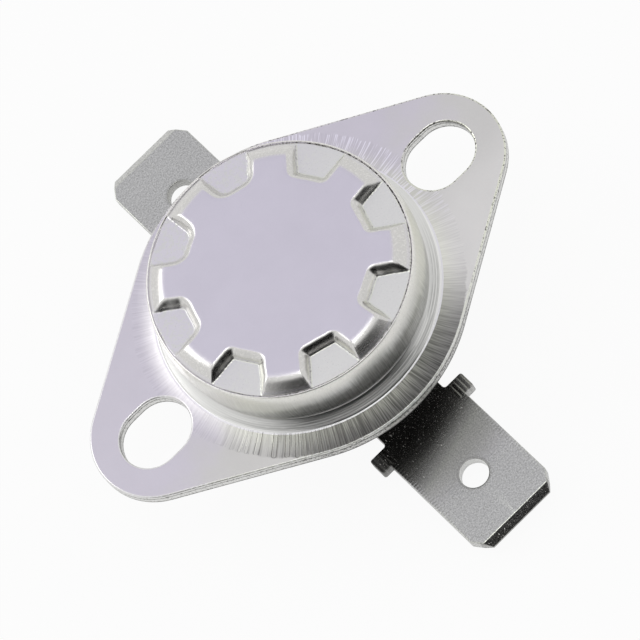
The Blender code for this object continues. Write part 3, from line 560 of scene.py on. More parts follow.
class AluminiumPaint(Paint):
    """Finish of the drawn cap, zone by zone. Heights, radii and soft edges are in millimetres."""

    def __init__(self, s, f):
        super().__init__("drawn_aluminium")
        self.f = f
        self.level = abs(self.normal_z)
        self.floor_z = (CAP_HIGH.z - s.pocket_depth) * MM
        self.flange_z = (CAP_LOW.z + s.flange_thickness) * MM
        self.back_z = CAP_LOW.z * MM
        self.lip_z = self.flange_z + s.lip_height * MM
        self.wall = s.wall_radius * MM
        self.crest = s.crest_radius * MM
        self.join = s.join_radius * MM
        self.ring_edge = s.ring_edge * MM
        self.crack = (s.rim_edge - s.rim_roll - s.crease) * MM
        self.add_patterns()
        self.add_sides()
        self.add_zones()

    def add_patterns(self):
        """Clouds, grain and the marks that run round the cup or along its wall."""
        self.cloud = self.noise(self.place, 0.35)
        self.grain = self.noise(self.place, 9.0, 4.0, 0.7)
        self.specks = self.noise(self.place, 14.0, 2.0, 0.5).ramp(0.66, 0.74)
        self.flecks = self.noise(self.place, 7.0, 3.0, 0.7).ramp(0.52, 0.6)
        self.marks = self.noise(self.around(22.0, self.radius * 0.35), 1.0, 3.0, 0.6)
        self.fine_marks = self.noise(self.around(130.0, self.radius * 0.5), 1.0, 1.0, 0.6).ramp(0.3, 0.7)
        self.drawing = self.noise(self.around(110.0, self.z * 0.5), 1.0, 2.0, 0.65).ramp(0.3, 0.7)
        lathe = self.vector(self.radius * 9.0, self.z * 9.0, self.cloud * 2.0)
        self.turning = self.noise(lathe, 1.0, 3.0, 0.6).ramp(0.3, 0.7)

    def add_sides(self):
        """Side masks for painted light and shade on the cap: near is 1 at -Y and -1 at +Y."""
        self.near = (self.x * -0.05 - self.y) / self.radius
        self.lit_and_shaded_side = self.near.ramp(0.1, 0.8)
        self.dark_reflection_side = self.near.ramp(0.5, 1.0)
        self.shown = (self.x * 0.6 - self.y * 0.8).ramp(-5.0, 1.0)
        self.roll_shade_side = (self.x * 0.8 + self.y * 0.6).ramp(-2.0, 7.0)

    def add_zones(self):
        """Masks that are 1 in the zone they name."""
        z, radius, level = self.z, self.radius, self.level
        floor, flange, lip = self.floor_z, self.flange_z, self.lip_z
        wall, crest, crack, edge = self.wall, self.crest, self.crack, self.ring_edge
        in_face = radius.ramp(crack, crack - 0.06)
        self.on_floor = z.ramp(floor + 0.05, floor + 0.02) * in_face * z.ramp(floor - 0.2, floor - 0.1)
        self.on_foot = z.band(floor, floor + 0.09, 0.02) * level.ramp(0.9, 0.7) * in_face
        self.on_rim = radius.ramp(crack, crack + 0.04) * z.ramp(floor - 1.05, floor - 0.6)
        self.on_face = z.ramp(floor + 0.08, floor + 0.2) * radius.ramp(crack, crack - 0.1)
        self.on_slope = self.on_face * level.ramp(0.997, 0.95)
        self.on_crack = radius.band(crack - 0.035, crack + 0.035, 0.012) * z.ramp(floor - 0.25, floor - 0.15)
        below_rim = z.ramp(floor - 0.3, floor - 1.05)
        self.on_wall = z.ramp(lip - 0.08, lip) * below_rim * radius.ramp(wall - 0.25, wall - 0.15)
        self.on_lip = z.band(lip - 0.03, lip + 0.06, 0.02) * radius.ramp(wall + 0.15, wall + 0.1)
        self.on_neck = z.ramp(flange + 0.12, flange + 0.2) * z.ramp(lip + 0.02, lip - 0.04)
        self.on_edge = level.ramp(0.45, 0.3) * z.ramp(flange + 0.02, flange - 0.04)
        rolled = level.ramp(0.995, 0.96) * level.ramp(0.3, 0.45)
        outside = radius.ramp(self.join + 0.15, self.join + 0.35)
        self.on_roll = rolled * z.band(flange - 0.2, flange + 0.01, 0.01) * outside
        ring_end = radius - (self.marks - 0.5) * (0.6 - self.dark_reflection_side * 0.5)
        ring = radius.ramp(crest - 0.06, crest) * ring_end.ramp(edge + 0.07, edge - 0.07)
        self.on_ring = ring * z.ramp(flange + 0.22, flange + 0.17) * level.ramp(0.93, 0.97)
        # Painted highlight: the crest's band is wider part way round towards -Y.
        wide = self.near.ramp(1.0, 0.75) * self.near.ramp(0.0, 0.4)
        ridge = radius.band(crest - 0.05 - wide * 0.1, crest + 0.03 + wide * 0.04, 0.02)
        self.on_crest = ridge * z.ramp(flange + 0.34, flange + 0.26)

    def drag_marks(self):
        """Marks with round ends, side by side, that the die scratched across the ring; they are kept, and
        painted dark as a reflection, only towards -Y and -X.
        """
        corner = 0.12
        lines = abs(self.noise(self.around(34.0, self.radius * 0.18), 1.0, 1.0, 0.4) - 0.5)
        lane = self.bearing() * 16.0 + self.noise(self.around(5.0, 0.0), 1.0, 1.0) * 4.0
        beside = (abs(lane.fraction() - 0.5) - 0.2) * 0.62 + corner
        beyond = self.radius - (self.marks - 0.5) * 0.3 - (self.ring_edge - corner)
        outline = (beside.at_least(0.0) ** 2.0 + beyond.at_least(0.0) ** 2.0) ** 0.5 - corner
        outline = abs(outline).ramp(0.04, 0.015) * self.radius.ramp(self.crest - 0.1, self.crest + 0.1)
        # Painted dark reflection: the marks are kept only on the side towards -Y and -X.
        mirrored_dark_side = self.near.ramp(0.3, 0.65) * (self.x / self.radius).ramp(-0.1, -0.35)
        return mirrored_dark_side * outline.at_least(lines.ramp(0.045, 0.015) * 0.4)

    def sheet_tone(self):
        """The face and the flange as the rolled sheet left them, with a painted reflection: a tint towards +Y
        and a lighter part towards +X and -Y.
        """
        reflected_tint = (self.y * 1.07 - self.x * 0.29 + (self.cloud - 0.5) * 8.0).ramp(-4.0, 2.0)
        lit = self.x.ramp(4.0, 8.5) * self.y.ramp(-0.5, -4.0)
        flange = self.tinted(self.mix(reflected_tint, self.f.sheet, self.f.reflected_tint), 1 + lit * 0.13)
        sheet = self.mix(self.radius.ramp(self.wall + 0.25, self.wall + 0.55), self.f.face, flange)
        return self.tinted(sheet, 0.93 + self.cloud * 0.1 + self.grain * 0.04)

    def pressed_tone(self, tone):
        """Slope, pocket floors and rim, which the press burnished."""
        grain, flecks = self.grain, self.flecks
        tone = self.mix(self.on_slope * 0.7, tone, self.tinted(self.f.rim, 0.88 + flecks * 0.14))
        side = (self.x * 0.5 - self.y * 0.85).ramp(-6.0, 3.0)
        patches = self.noise(self.place, 3.0, 4.0, 0.75).ramp(0.5, 0.56)
        struck = self.on_floor * (side * 0.8 + 0.2 + patches * (1 - side) * 0.6)
        tone = self.mix(struck, tone, self.tinted(self.f.floor, 0.87 + side * 0.07 + grain * 0.14))
        return self.mix(self.on_rim, tone, self.tinted(self.f.rim, 0.86 + grain * 0.5 - flecks * 0.16))

    def drawn_tone(self, flat, tone):
        """Wall, neck, ring and crest, which the dies drew, with painted light: the wall lighter towards its
        top, shade on the neck and a dark reflection on the ring towards -Y, glints on the ring towards +X and
        +Y, and a highlight on the crest.
        """
        # Painted light: the wall is lighter towards its top and darker down to the lip.
        wall = 0.6 + self.drawing * 0.3 + self.z.ramp(self.lip_z, self.lip_z + 2.4) * 0.22
        tone = self.mix(self.on_wall, tone, self.tinted(self.f.drawn, wall))
        # Painted shade: the neck is darker towards -Y, and its turning marks show stronger there.
        turned = (self.turning - 0.5) * (0.08 + self.lit_and_shaded_side * 0.42)
        tone = self.mix(self.on_neck, tone, self.tinted(self.f.drawn, 0.95 - self.lit_and_shaded_side * 0.2 + turned))
        # Painted dark reflection: towards -Y the ring's tone falls to a small fraction, with its fine marks a
        # little lighter.
        streaks = 1 - self.dark_reflection_side * (0.88 - self.fine_marks * 0.16)
        ring = self.tinted(flat, (0.93 + self.fine_marks * 0.12) * streaks)
        # Painted glints: the ring's fine marks turn bright towards +X and +Y.
        glint_side = ((self.x * 0.7 + self.y * 0.7) / self.radius).ramp(0.3, 0.85)
        ring = self.mix(glint_side * self.fine_marks.ramp(0.55, 0.95), ring, self.f.burnished)
        tone = self.mix(self.on_ring, tone, ring)
        # Painted highlight: the crest is mixed towards near-white.
        return self.mix(self.on_crest * 0.8, tone, self.f.crest)

    def grime_and_shade_share(self):
        """Dark lubricant in pits and flecks; painted shade in the line inside the rim and at the pockets'
        feet towards +X and -Y, at the wall's lip, on the rolled edge towards +X and +Y and on the punched
        edge towards -Y; painted dark reflection in the ring's marks; and dark bands along the punched edge.
        """
        z, flange, flecks, on_edge = self.z, self.flange_z, self.flecks, self.on_edge
        pits = (on_edge * 0.6 + self.on_floor * 0.3 + self.on_rim * 0.25 + 0.04) * self.specks
        # Painted shade: the line inside the rim and the pockets' feet are darkest on the side towards +X and
        # -Y.
        lines = self.on_crack * (self.shown * 0.85 + 0.05) + self.on_foot * self.shown * 0.6
        burr = z.ramp(self.back_z + 0.18, self.back_z + 0.1) + z.band(flange - 0.3, flange - 0.2, 0.03)
        # Painted shade: the rolled edge is dark towards +X and +Y.
        edge = on_edge * burr * (0.6 + flecks * 0.4) + self.on_roll * self.roll_shade_side * flecks
        # Painted shade: the punched edge is darker towards -Y.
        edge = edge + on_edge * flecks * 0.35 + on_edge * self.near.ramp(0.6, 0.95) * (0.3 + flecks * 0.4)
        # Painted shade: a dark line at the wall's lower lip.
        lip = self.on_lip * (0.6 + flecks * 0.3)
        darkened = pits + self.on_ring * self.marks_and_reflection * 0.7 + lines * (0.1 + flecks * 0.9) + edge + lip
        return darkened.at_most(1.0)

    def relief(self):
        """Grain, drawing and turning marks, and scratches."""
        scratch = abs(self.noise(self.stretched(0.35, 2.6, 1.0), 1.3, 3.0, 0.5, 0.4) - 0.5).ramp(0.012, 0.004)
        streaks = (self.marks * 0.12 + self.fine_marks * 0.24) * 0.006
        relief = self.grain * (0.0009 + self.on_rim * 0.003) + self.on_ring * (streaks - self.marks_and_reflection * 0.004)
        relief = relief + (self.on_neck * self.turning * self.lit_and_shaded_side + self.on_wall * self.drawing) * 0.003
        return relief + self.on_floor * self.specks * 0.003 - scratch * self.on_face * 0.0006

    def finish(self):
        self.marks_and_reflection = self.drag_marks()
        flat = self.sheet_tone()
        tone = self.drawn_tone(flat, self.pressed_tone(flat))
        # Painted highlight in the white worn colour: on the rolled edge away from +X and +Y, and on the crest
        # towards -Y; there the metal is also made less metallic.
        worn = self.on_roll * (1 - self.roll_shade_side) * (0.4 + self.flecks * 0.6)
        worn = (worn + self.on_crest * self.lit_and_shaded_side * 0.6).at_most(1.0)
        tone = self.mix(worn, tone, self.f.worn)
        # Painted light: a pale band on the upper wall towards -Y that starts higher the nearer it is to -Y;
        # it is also made less metallic.
        above = self.z - (self.near * 3.0 + (self.flange_z + 0.3))
        painted_light_band = above.ramp(-0.5, 0.3) * self.radius.ramp(self.wall - 0.07, self.wall - 0.01)
        painted_light_band = painted_light_band * self.z.ramp(self.floor_z + 0.1, self.floor_z) * self.near.ramp(0.0, 0.4)
        tone = self.mix(painted_light_band * 0.6, tone, self.tinted(self.f.rim, 0.94 + self.grain * 0.3))
        tone = self.mix(self.on_edge, tone, self.tinted(self.f.drawn, 0.75 + self.grain * 0.5))
        tone = self.mix(self.grime_and_shade_share(), tone, self.f.grime_and_shade)
        rough = 0.26 + self.grain * 0.06 - self.on_slope * 0.04
        rough = rough + (self.on_floor + self.on_wall) * 0.06 + self.on_edge * 0.05
        return self.close(tone, rough, 1 - (worn * 0.75).at_least(painted_light_band * 0.5), self.relief())


class TerminalPaint(Paint):
    """Finish of the plated tabs: coined wings, filing along the edges, pits and a dark hole rim."""

    def __init__(self, s, f):
        super().__init__("plated_terminal")
        self.s = s
        self.f = f
        self.reach = abs(self.y)
        self.across = abs(self.x)
        self.level = abs(self.normal_z)
        along = self.reach - (TAB_HIGH.y - s.hole_from_tip) * MM
        self.to_hole = (along * along + self.x * self.x) ** 0.5
        self.add_patterns()
        self.add_zones()

    def add_patterns(self):
        self.cloud = self.noise(self.place, 0.4)
        self.grain = self.noise(self.place, 9.0, 4.0, 0.75)
        self.grit = self.noise(self.place, 10.0, 2.0, 0.7).ramp(0.3, 0.7)
        self.pits = self.noise(self.place, 7.0, 2.0, 0.5).ramp(0.68, 0.74)
        self.dust = self.noise(self.place, 17.0, 1.0, 0.6).ramp(0.68, 0.73)
        self.nicks = self.noise(self.stretched(2.0, 0.7, 1.0), 5.0, 1.0, 0.5).ramp(0.72, 0.78)
        self.coining = (self.x * 21.0).sine()

    def add_zones(self):
        """The tab at -Y has painted shade and a dull finish towards the base; slant is its distance along
        that border.
        """
        s, reach, across = self.s, self.reach, self.across
        self.on_wing = reach.band(s.wing_inner * MM, s.wing_outer * MM, 0.08) * across.ramp(2.5, 2.8)
        self.hole_rim = self.to_hole.ramp(1.12, 1.0)
        self.near_side = self.y.ramp(0.0, -1.0)
        self.slant = reach + self.x * self.near_side * 0.28
        self.inner = self.near_side * self.slant.ramp(12.8, 11.2)
        dull = self.slant.ramp(9.9, 12.2) * reach.ramp(14.4, 12.6) * 0.75
        self.dull = dull + self.on_wing * across.ramp(2.9, 3.5) * 0.35
        self.on_bevel = self.level.ramp(0.95, 0.9) * reach.ramp(17.2, 17.3)

    def finish(self):
        s, f, grain = self.s, self.f, self.grain
        neutral = self.inner.at_least(self.level.ramp(0.99, 0.9)).at_least(self.dull * 1.3).at_most(1.0)
        tone = self.mix(neutral, f.terminal, f.terminal_dull)
        shaded = 1 - self.inner * self.slant.ramp(10.4, 8.8) * 0.6
        tone = self.tinted(tone, (0.62 + self.cloud * 0.12 + grain * 0.14 + self.grit * 0.52) * shaded)
        darkened = self.on_wing * (0.5 - self.coining * 0.5) * 0.5 + self.pits * 0.45
        darkened = darkened + self.hole_rim * 0.25 + self.on_bevel * self.near_side * 0.4
        tone = self.mix(darkened.at_most(1.0), tone, f.grime_and_shade)
        in_hole = self.to_hole.ramp(s.hole_radius * MM + 0.06, s.hole_radius * MM)
        tone = self.mix(in_hole * self.level.ramp(0.5, 0.3) * self.near_side, tone, f.hole_wall)
        scuffed = (self.on_bevel * self.grit * 0.05 + self.dust * 0.9 + self.nicks * 0.8).at_most(1.0)
        rubbed = self.reach.ramp(16.0, 10.0) * (0.4 + self.inner * 0.6)
        scuffed = scuffed * rubbed.at_least(self.on_bevel)
        tone = self.mix(scuffed, tone, f.rim)
        rough = 0.2 + grain * 0.06 + self.hole_rim * 0.05 + scuffed * 0.4
        return self.close(tone, rough, (1 - scuffed * 0.8) * (1 - self.dull), self.relief())

    def relief(self):
        """Grain, rolling lines, the coined wings, filing along the sides and pits."""
        lines = self.noise(self.stretched(0.15, 6.0, 1.0), 1.2, 2.0, 0.5)
        filing = (self.reach * 30.0 + self.cloud * 6.0).sine()
        on_side = self.across.ramp(2.6, 2.9) * (1 - self.on_wing)
        relief = self.grain * 0.002 + lines * 0.001 + self.on_wing * self.coining * 0.012
        return relief + on_side * filing * 0.002 - self.pits * 0.003


def moulding_paint(f):
    """Dark phenolic with mineral filler, flow lines and a dull moulded skin."""
    paint = Paint("phenolic_moulding")
    grain = paint.noise(paint.place, 5.0, 4.0, 0.6)
    filler = paint.noise(paint.place, 11.0, 2.0, 0.5).ramp(0.64, 0.74)
    flow = paint.noise(paint.stretched(0.5, 0.5, 1.6), 0.6, 3.0, 0.5, 1.2)
    tone = paint.mix(filler * 0.5 + flow * 0.08, f.moulding, f.filler)
    rough = 0.42 + grain * 0.14 + flow * 0.06
    return paint.close(tone, rough, 0.0, grain * 0.004 + filler * 0.003)


def metal_paint(name, base, roughness):
    """A plain metal with rolling lines, fine grain and faint stains."""
    paint = Paint(name)
    grain = paint.noise(paint.place, 8.0, 4.0, 0.6)
    lines = paint.noise(paint.stretched(0.3, 7.0, 1.0), 1.0, 2.0, 0.5)
    stain = paint.noise(paint.place, 0.8, 3.0, 0.5)
    tone = paint.tinted(base, 0.88 + grain * 0.12 + stain * 0.12)
    rough = roughness + grain * 0.08 + lines * 0.05
    return paint.close(tone, rough, 1.0, (grain + lines) * 0.0012)


def bimetal_paint(f):
    """The two sides of the disc differ in colour; both show rolling lines."""
    paint = Paint("bimetal")
    upper = paint.normal_z.ramp(-0.2, 0.2)
    lines = paint.noise(paint.stretched(0.25, 6.0, 1.0), 1.0, 3.0, 0.5)
    grain = paint.noise(paint.place, 7.0, 3.0, 0.6)
    tone = paint.tinted(paint.mix(upper, f.bimetal_cool, f.bimetal_warm), 0.85 + lines * 0.25)
    return paint.close(tone, 0.3 + grain * 0.1, 1.0, lines * 0.002)


def ceramic_paint(f):
    """Fired steatite with a fine grain and a few dark specks."""
    paint = Paint("steatite")
    grain = paint.noise(paint.place, 6.0, 4.0, 0.6)
    specks = paint.noise(paint.place, 9.0, 2.0, 0.5).ramp(0.7, 0.78)
    tone = paint.mix(specks * 0.35, paint.tinted(f.ceramic, 0.94 + grain * 0.1), f.grime_and_shade)
    return paint.close(tone, 0.5 + grain * 0.15, 0.0, grain * 0.003)


def clamp(value):
    return max(0, min(1, value))


class FaceForm:
    """Height of the sensing face at any point: plateau, slope, rim and pressed pockets."""

    def __init__(self, sizes, top):
        self.s = sizes
        self.top = top
        self.floor = top - sizes.pocket_depth
        self.rim_top = self.floor + sizes.rim_rise
        self.roll_end = sizes.plateau_radius + sizes.plateau_roll * sin(sizes.slope)
        self.roll_drop = sizes.plateau_roll * (1 - cos(sizes.slope))
        self.rim_start = sizes.rim_edge - sizes.rim_roll

    def unpressed(self, radius):
        """Height before the pockets are pressed: plateau, rounded edge and slope."""
        s = self.s
        if radius <= s.plateau_radius:
            return self.top
        if radius <= self.roll_end:
            run = radius - s.plateau_radius
            return self.top - s.plateau_roll + (s.plateau_roll**2 - run**2) ** 0.5
        return self.top - self.roll_drop - (radius - self.roll_end) * tan(s.slope)

    def floor_corner(self, bearing):
        """Corner radius of the pocket at the bearing, larger where the punch is worn."""
        s = self.s
        spread, border = 3, 1.2
        worn = clamp(spread * cos(bearing - s.worn_side) - border)
        return s.pocket_corner + (s.worn_corner - s.pocket_corner) * worn

    def pocket_gap(self, x, y):
        """Distance outside the nearest pocket's floor, and the distance past its outer edge."""
        s = self.s
        pitch = 2 * pi / s.pocket_count
        bearing = atan2(y, x) - s.pocket_turn
        bearing -= pitch * round(bearing / pitch)
        radius = hypot(x, y)
        along = radius * cos(bearing)
        stray = s.wobble * noise.noise(Vector((x, y, 0)) * s.wobble_rate)
        turn = self.floor_corner(atan2(y, x) - bearing)
        inner = s.pocket_reach - along + stray + turn
        lean = abs(radius * sin(bearing)) - s.pocket_half_width + stray
        lean += turn * (1 - sin(s.pocket_flare)) / cos(s.pocket_flare)
        beside = inner * sin(s.pocket_flare) + lean * cos(s.pocket_flare)
        before = lean * sin(s.pocket_flare) - inner * cos(s.pocket_flare) < 0
        gap = hypot(inner, lean) if before and lean > 0 else max(inner, beside)
        return gap - turn, along - s.pocket_chord

    def crack(self, x, y):
        """Depth of the line pressed inside the rim, which is faint on one side."""
        s = self.s
        off_line = abs(hypot(x, y) - self.rim_start + s.crease) / s.crease
        middle, spread, faint = 0.6, 100, 0.15
        shown = clamp(middle + spread * (x * 0.6 - y * 0.8))
        return s.crack_depth * (faint + (1 - faint) * shown) * max(0, 1 - off_line)

    def height(self, x, y):
        """Height of the pressed face, up to the rim."""
        s = self.s
        radius = hypot(x, y)
        gap, past = self.pocket_gap(x, y)
        pressed = self.floor + soft_rise(gap, s.foot) * tan(s.pocket_wall) - max(0, past) * tan(s.outer_fall)
        before = self.unpressed(radius)
        level = soft_min(before, pressed, max(MICRON, min(s.pocket_roll, before - self.floor)))
        level -= self.crack(x, y)
        onto_rim = clamp((radius - self.rim_start + s.crease) / s.crease)
        return level + (self.rim_top - level) * onto_rim


def soft_min(first, second, reach):
    """The lower of two heights, rounded where they are less than reach apart."""
    share = clamp(0.5 + 0.5 * (second - first) / reach)
    return second + (first - second) * share - reach * share * (1 - share)


def soft_rise(value, reach):
    """Zero below the foot and the value above it, with a fillet between them."""
    if value <= -reach:
        return 0
    if value >= reach:
        return value
    return (value + reach) ** 2 / (4 * reach)


def ring_rise(s, radius):
    """Height of the drawn ring above the flange."""
    share = (radius - s.crest_radius) / (s.ring_radius - s.crest_radius)
    return s.crest_height * max(0, 1 - share) ** 1.6


def draw_face(pen, s, form):
    """The sensing face, still flat, with close rings where it will be pressed."""
    pen.line((s.fine_start * 0.6, 0, form.top), (s.fine_start * 0.96, 0, form.top))
    ring = s.fine_start
    while ring < form.rim_start - s.fine_step:
        pen.line((ring, 0, form.top))
        ring += s.fine_step
    for back in (2 * s.crease, s.crease, s.crease / 2):
        pen.line((form.rim_start - back, 0, form.top))


def draw_rim_and_wall(pen, s, form, lip):
    """The bulged rim, the wall and the small step below the wall's lower lip."""
    edge = form.rim_top
    wall = s.wall_radius
    pen.line((form.rim_start, 0, edge))
    pen.arc((form.rim_start, 0, edge - s.rim_roll), 55, 5, Y_AXIS)
    shoulder = (s.rim_radius - s.lip_step, 0, edge - 0.0002)
    pen.curve(shoulder, (s.rim_radius, 0, edge - s.rim_taper), 6)
    swell = (s.rim_radius, 0, lip + 0.0010)
    pen.curve(swell, (wall + 0.00004, 0, lip + s.bulge_end), 8)
    pen.line((wall, 0, lip + s.lip_round))
    pen.curve((wall, 0, lip), (wall - s.lip_round, 0, lip), 2)
    pen.line((wall - s.lip_step, 0, lip - s.lip_step))
    foot = lip - 2 * s.lip_step
    pen.curve((wall - s.lip_step, 0, foot), (wall - s.lip_round, 0, foot - 0.00004), 3)


def draw_flare_and_crest(pen, s, flange_top):
    """The flare below the wall, the crest around it and the start of the drawn ring."""
    crest = Vector((s.crest_radius, 0, flange_top + s.crest_height))
    flare = (s.wall_radius - 0.00001, 0, crest.z + 0.00038)
    flare_end = crest + Vector((-0.00008, 0, 0.00003))
    pen.curve(flare, flare_end, 16)
    hollow = crest + Vector((-0.00006, 0, -0.000008))
    pen.curve(hollow, crest + Vector((0, 0, -0.000005)), 3)
    for run in (0.00006, 0.00012, 0.0002, s.join_radius - s.crest_radius):
        pen.line((crest.x + run, 0, flange_top + ring_rise(s, crest.x + run)))


def draw_cup_outside(shape, s, form):
    """Profile from the middle of the sensing face over the rim, wall, neck and crest to the flange."""
    flange_top = CAP_LOW.z + s.flange_thickness
    pen = Pen(shape, (0, 0, form.top))
    draw_face(pen, s, form)
    draw_rim_and_wall(pen, s, form, flange_top + s.lip_height)
    draw_flare_and_crest(pen, s, flange_top)


def draw_cup_inside(shape, s, form):
    """Profile from the flange's underside through the mouth and the neck to the middle of the face."""
    bottom = CAP_LOW.z
    inside_top = form.top - s.sheet
    neck = Vector((s.neck_radius, 0, bottom + s.flange_thickness + s.neck_height))
    roll = s.neck_roll
    bore = s.wall_radius - s.sheet
    mouth = s.crest_radius - s.sheet
    pen = Pen(shape, (s.join_radius, 0, bottom))
    pen.line((mouth + 0.0002, 0, bottom), (mouth + 0.00006, 0, bottom + 0.00006), (mouth, 0, bottom + 0.0002))
    for turn in range(235, 144, -15):
        pen.line(neck + roll * Vector((cos(radians(turn)), 0, sin(radians(turn)))))
    pen.line((bore, 0, neck.z + roll * 0.64), (bore, 0, form.floor - s.sheet - 0.0001))
    ring = bore - 0.0001
    while ring > s.fine_start + 0.0001:
        pen.line((ring, 0, inside_top))
        ring -= 0.0002
    pen.line((s.fine_start * 0.96, 0, inside_top), (0, 0, inside_top))


def edges_near_pockets(cup, form):
    """Edges of the flat face at which the pockets' walls and corners will be pressed."""
    wall_foot, wall_top, outer_end = -0.00035, 0.0006, -0.0002
    found = []
    for edge in cup.edges:
        middle = (edge.verts[0].co + edge.verts[1].co) / 2
        if form.top - middle.z > MICRON:
            continue
        gap, past = form.pocket_gap(middle.x, middle.y)
        if wall_foot < gap < wall_top or past > outer_end:
            found.append(edge)
    return found


def make_cup(s, form):
    """The turned cup, whose face is then pressed to the form."""
    cup = bmesh.new()
    draw_cup_outside(cup, s, form)
    draw_cup_inside(cup, s, form)
    turn_about_z(cup, s.steps)
    bmesh.ops.subdivide_edges(cup, edges=edges_near_pockets(cup, form), cuts=2, use_grid_fill=True)
    inside_top = form.top - s.sheet
    for vert in cup.verts:
        if hypot(vert.co.x, vert.co.y) > form.rim_start + MICRON:
            continue
        if vert.co.z > form.top - MICRON:
            vert.co.z = form.height(vert.co.x, vert.co.y)
        elif abs(vert.co.z - inside_top) < MICRON:
            vert.co.z = form.height(vert.co.x, vert.co.y) - s.sheet
    return cup


def draw_flange(shape, s, top):
    """Outline of the flange, its two slots and the round opening for the cup."""
    end = CAP_HIGH.x - s.end_radius
    lean = asin((s.waist_radius - s.end_radius) / end)
    sweep = 180 - 2 * degrees(lean)
    start = Vector((end + s.end_radius * sin(lean), -s.end_radius * cos(lean), top))
    waist = Vector((s.waist_radius * sin(lean), s.waist_radius * cos(lean), top))
    pen = Pen(shape, start)
    for side in (1, -1):
        pen.arc((side * end, 0, top), sweep, 28)
        pen.line((side * waist.x, side * waist.y, top))
        pen.arc((0, 0, top), 180 - sweep, 32)
        pen.line((-side * start.x, -side * start.y, top))
    pen.close()
    half_width = s.slot_width / 2
    reach = (s.slot_length - s.slot_width) / 2
    for middle in (s.slot_pitch / 2, -s.slot_pitch / 2):
        pen = Pen(shape, (middle + reach, -half_width, top))
        pen.arc((middle + reach, 0, top), 180, 24)
        pen.line((middle - reach, half_width, top))
        pen.arc((middle - reach, 0, top), 180, 24)
        pen.close()
    draw_circle(shape, (0, 0, top), s.join_radius, s.steps)


def is_at_radius(vert, radius):
    return abs(hypot(*vert.co.xy) - radius) < MICRON


def make_flange(s):
    """The flange, open where the cup joins it, with its upper edge rolled and its lower one dulled."""
    flange = bmesh.new()
    top = CAP_LOW.z + s.flange_thickness
    draw_flange(flange, s, top)
    fill_plate(flange, s.flange_thickness, s.edge_band, s.ring_radius)
    standing = [face for face in flange.faces if abs(face.normal.z) < 0.5]
    opening = [face for face in standing if all(is_at_radius(vert, s.join_radius) for vert in face.verts)]
    bmesh.ops.delete(flange, geom=opening, context="FACES")
    for height, width, segments in ((top, s.edge_roll, 3), (CAP_LOW.z, s.burr, 2)):
        round_edges(flange, edges_at(sharp_edges(flange, 60), height), width, segments)
    for vert in flange.verts:
        if vert.co.z > top - s.flange_thickness / 2:
            vert.co.z += ring_rise(s, hypot(*vert.co.xy))
    return flange


class THERMOSTAT_OT_cap(Operator):
    """Models the drawn cap: pressed face, rolled neck and punched flange"""

    bl_idname = "thermostat.cap"
    bl_label = "Cap"

    def execute(self, context):
        s = context.scene.thermostat_cap
        form = FaceForm(s, CAP_HIGH.z)
        cap = make_cup(s, form)
        flange = make_flange(s)
        sheet = bpy.data.meshes.new("flange_sheet")
        flange.to_mesh(sheet)
        flange.free()
        cap.from_mesh(sheet)
        bpy.data.meshes.remove(sheet)
        bmesh.ops.remove_doubles(cap, verts=cap.verts, dist=2 * MICRON)
        bmesh.ops.recalc_face_normals(cap, faces=cap.faces)
        open_edges = sum(not edge.is_manifold for edge in cap.edges)
        if open_edges:
            raise RuntimeError(f"the cap's surface has {open_edges} open edges")
        paint = AluminiumPaint(s, context.scene.thermostat_finishes).finish()
        finish_piece("drawn_cap", cap, paint, "housing", "cap")
        return {"FINISHED"}


def cut_across(shape, place, way, clear_outer=False):
    """Cuts all edges at a plane, and clears what lies beyond it if asked to."""
    return bmesh.ops.bisect_plane(
        shape,
        geom=shape.verts[:] + shape.edges[:] + shape.faces[:],
        plane_co=place,
        plane_no=way,
        dist=MICRON / 10,
        clear_outer=clear_outer,
    )


def draw_terminal_half(shape, s, top):
    """Right half of a tab that points along +Y."""
    tip = TAB_HIGH.y
    turn = s.wing_corner
    edge = s.wing_half_width
    pen = Pen(shape, (0, s.tail, top))
    chamfer = s.tail_chamfer
    pen.line((s.neck_half_width - chamfer, s.tail, top), (s.neck_half_width, s.tail + chamfer, top))
    pen.line((s.neck_half_width, s.wing_inner - s.neck_fillet, top))
    pen.arc((s.neck_half_width + s.neck_fillet, s.wing_inner - s.neck_fillet, top), -90, 5)
    pen.line((edge - turn, s.wing_inner, top))
    pen.arc((edge - turn, s.wing_inner + turn, top), 90, 5)
    pen.line((edge, s.wing_outer - turn, top))
    pen.arc((edge - turn, s.wing_outer - turn, top), 90, 5)
    pen.line((s.tab_half_width, s.wing_outer, top))
    pen.line((s.tab_half_width, tip - s.tip_chamfer, top), (s.tip_half_width, tip, top), (0, tip, top))


def make_terminal(s, inner, side):
    """A coined tab with wings, both holes and bevels on both faces of its tip."""
    tab = bmesh.new()
    top = TAB_HIGH.z
    draw_terminal_half(tab, s, top)
    bmesh.ops.mirror(tab, geom=tab.verts[:] + tab.edges[:], axis="X", merge_dist=MICRON)
    draw_circle(tab, (0, TAB_HIGH.y - s.hole_from_tip, top), s.hole_radius, 64)
    draw_circle(tab, (0, inner.rivet_offset, top), inner.rivet_hole, 32)
    fill_plate(tab, s.thickness, s.edge_band)
    for direction in (1, -1):
        outward = Vector((0, s.bevel_depth, direction * s.bevel_length)).normalized()
        corner = Vector((0, TAB_HIGH.y - s.bevel_length, top if direction > 0 else top - s.thickness))
        cut = cut_across(tab, corner, outward, clear_outer=True)
        rim = [item for item in cut["geom_cut"] if isinstance(item, bmesh.types.BMEdge)]
        bmesh.ops.contextual_create(tab, geom=rim)
    bmesh.ops.recalc_face_normals(tab, faces=tab.faces)
    tab.normal_update()
    round_edges(tab, sharp_edges(tab, 25), s.edge_roll, 2)
    if side < 0:
        bmesh.ops.rotate(tab, verts=tab.verts, cent=(0, 0, 0), matrix=Matrix.Rotation(pi, 3, "Z"))
    return tab


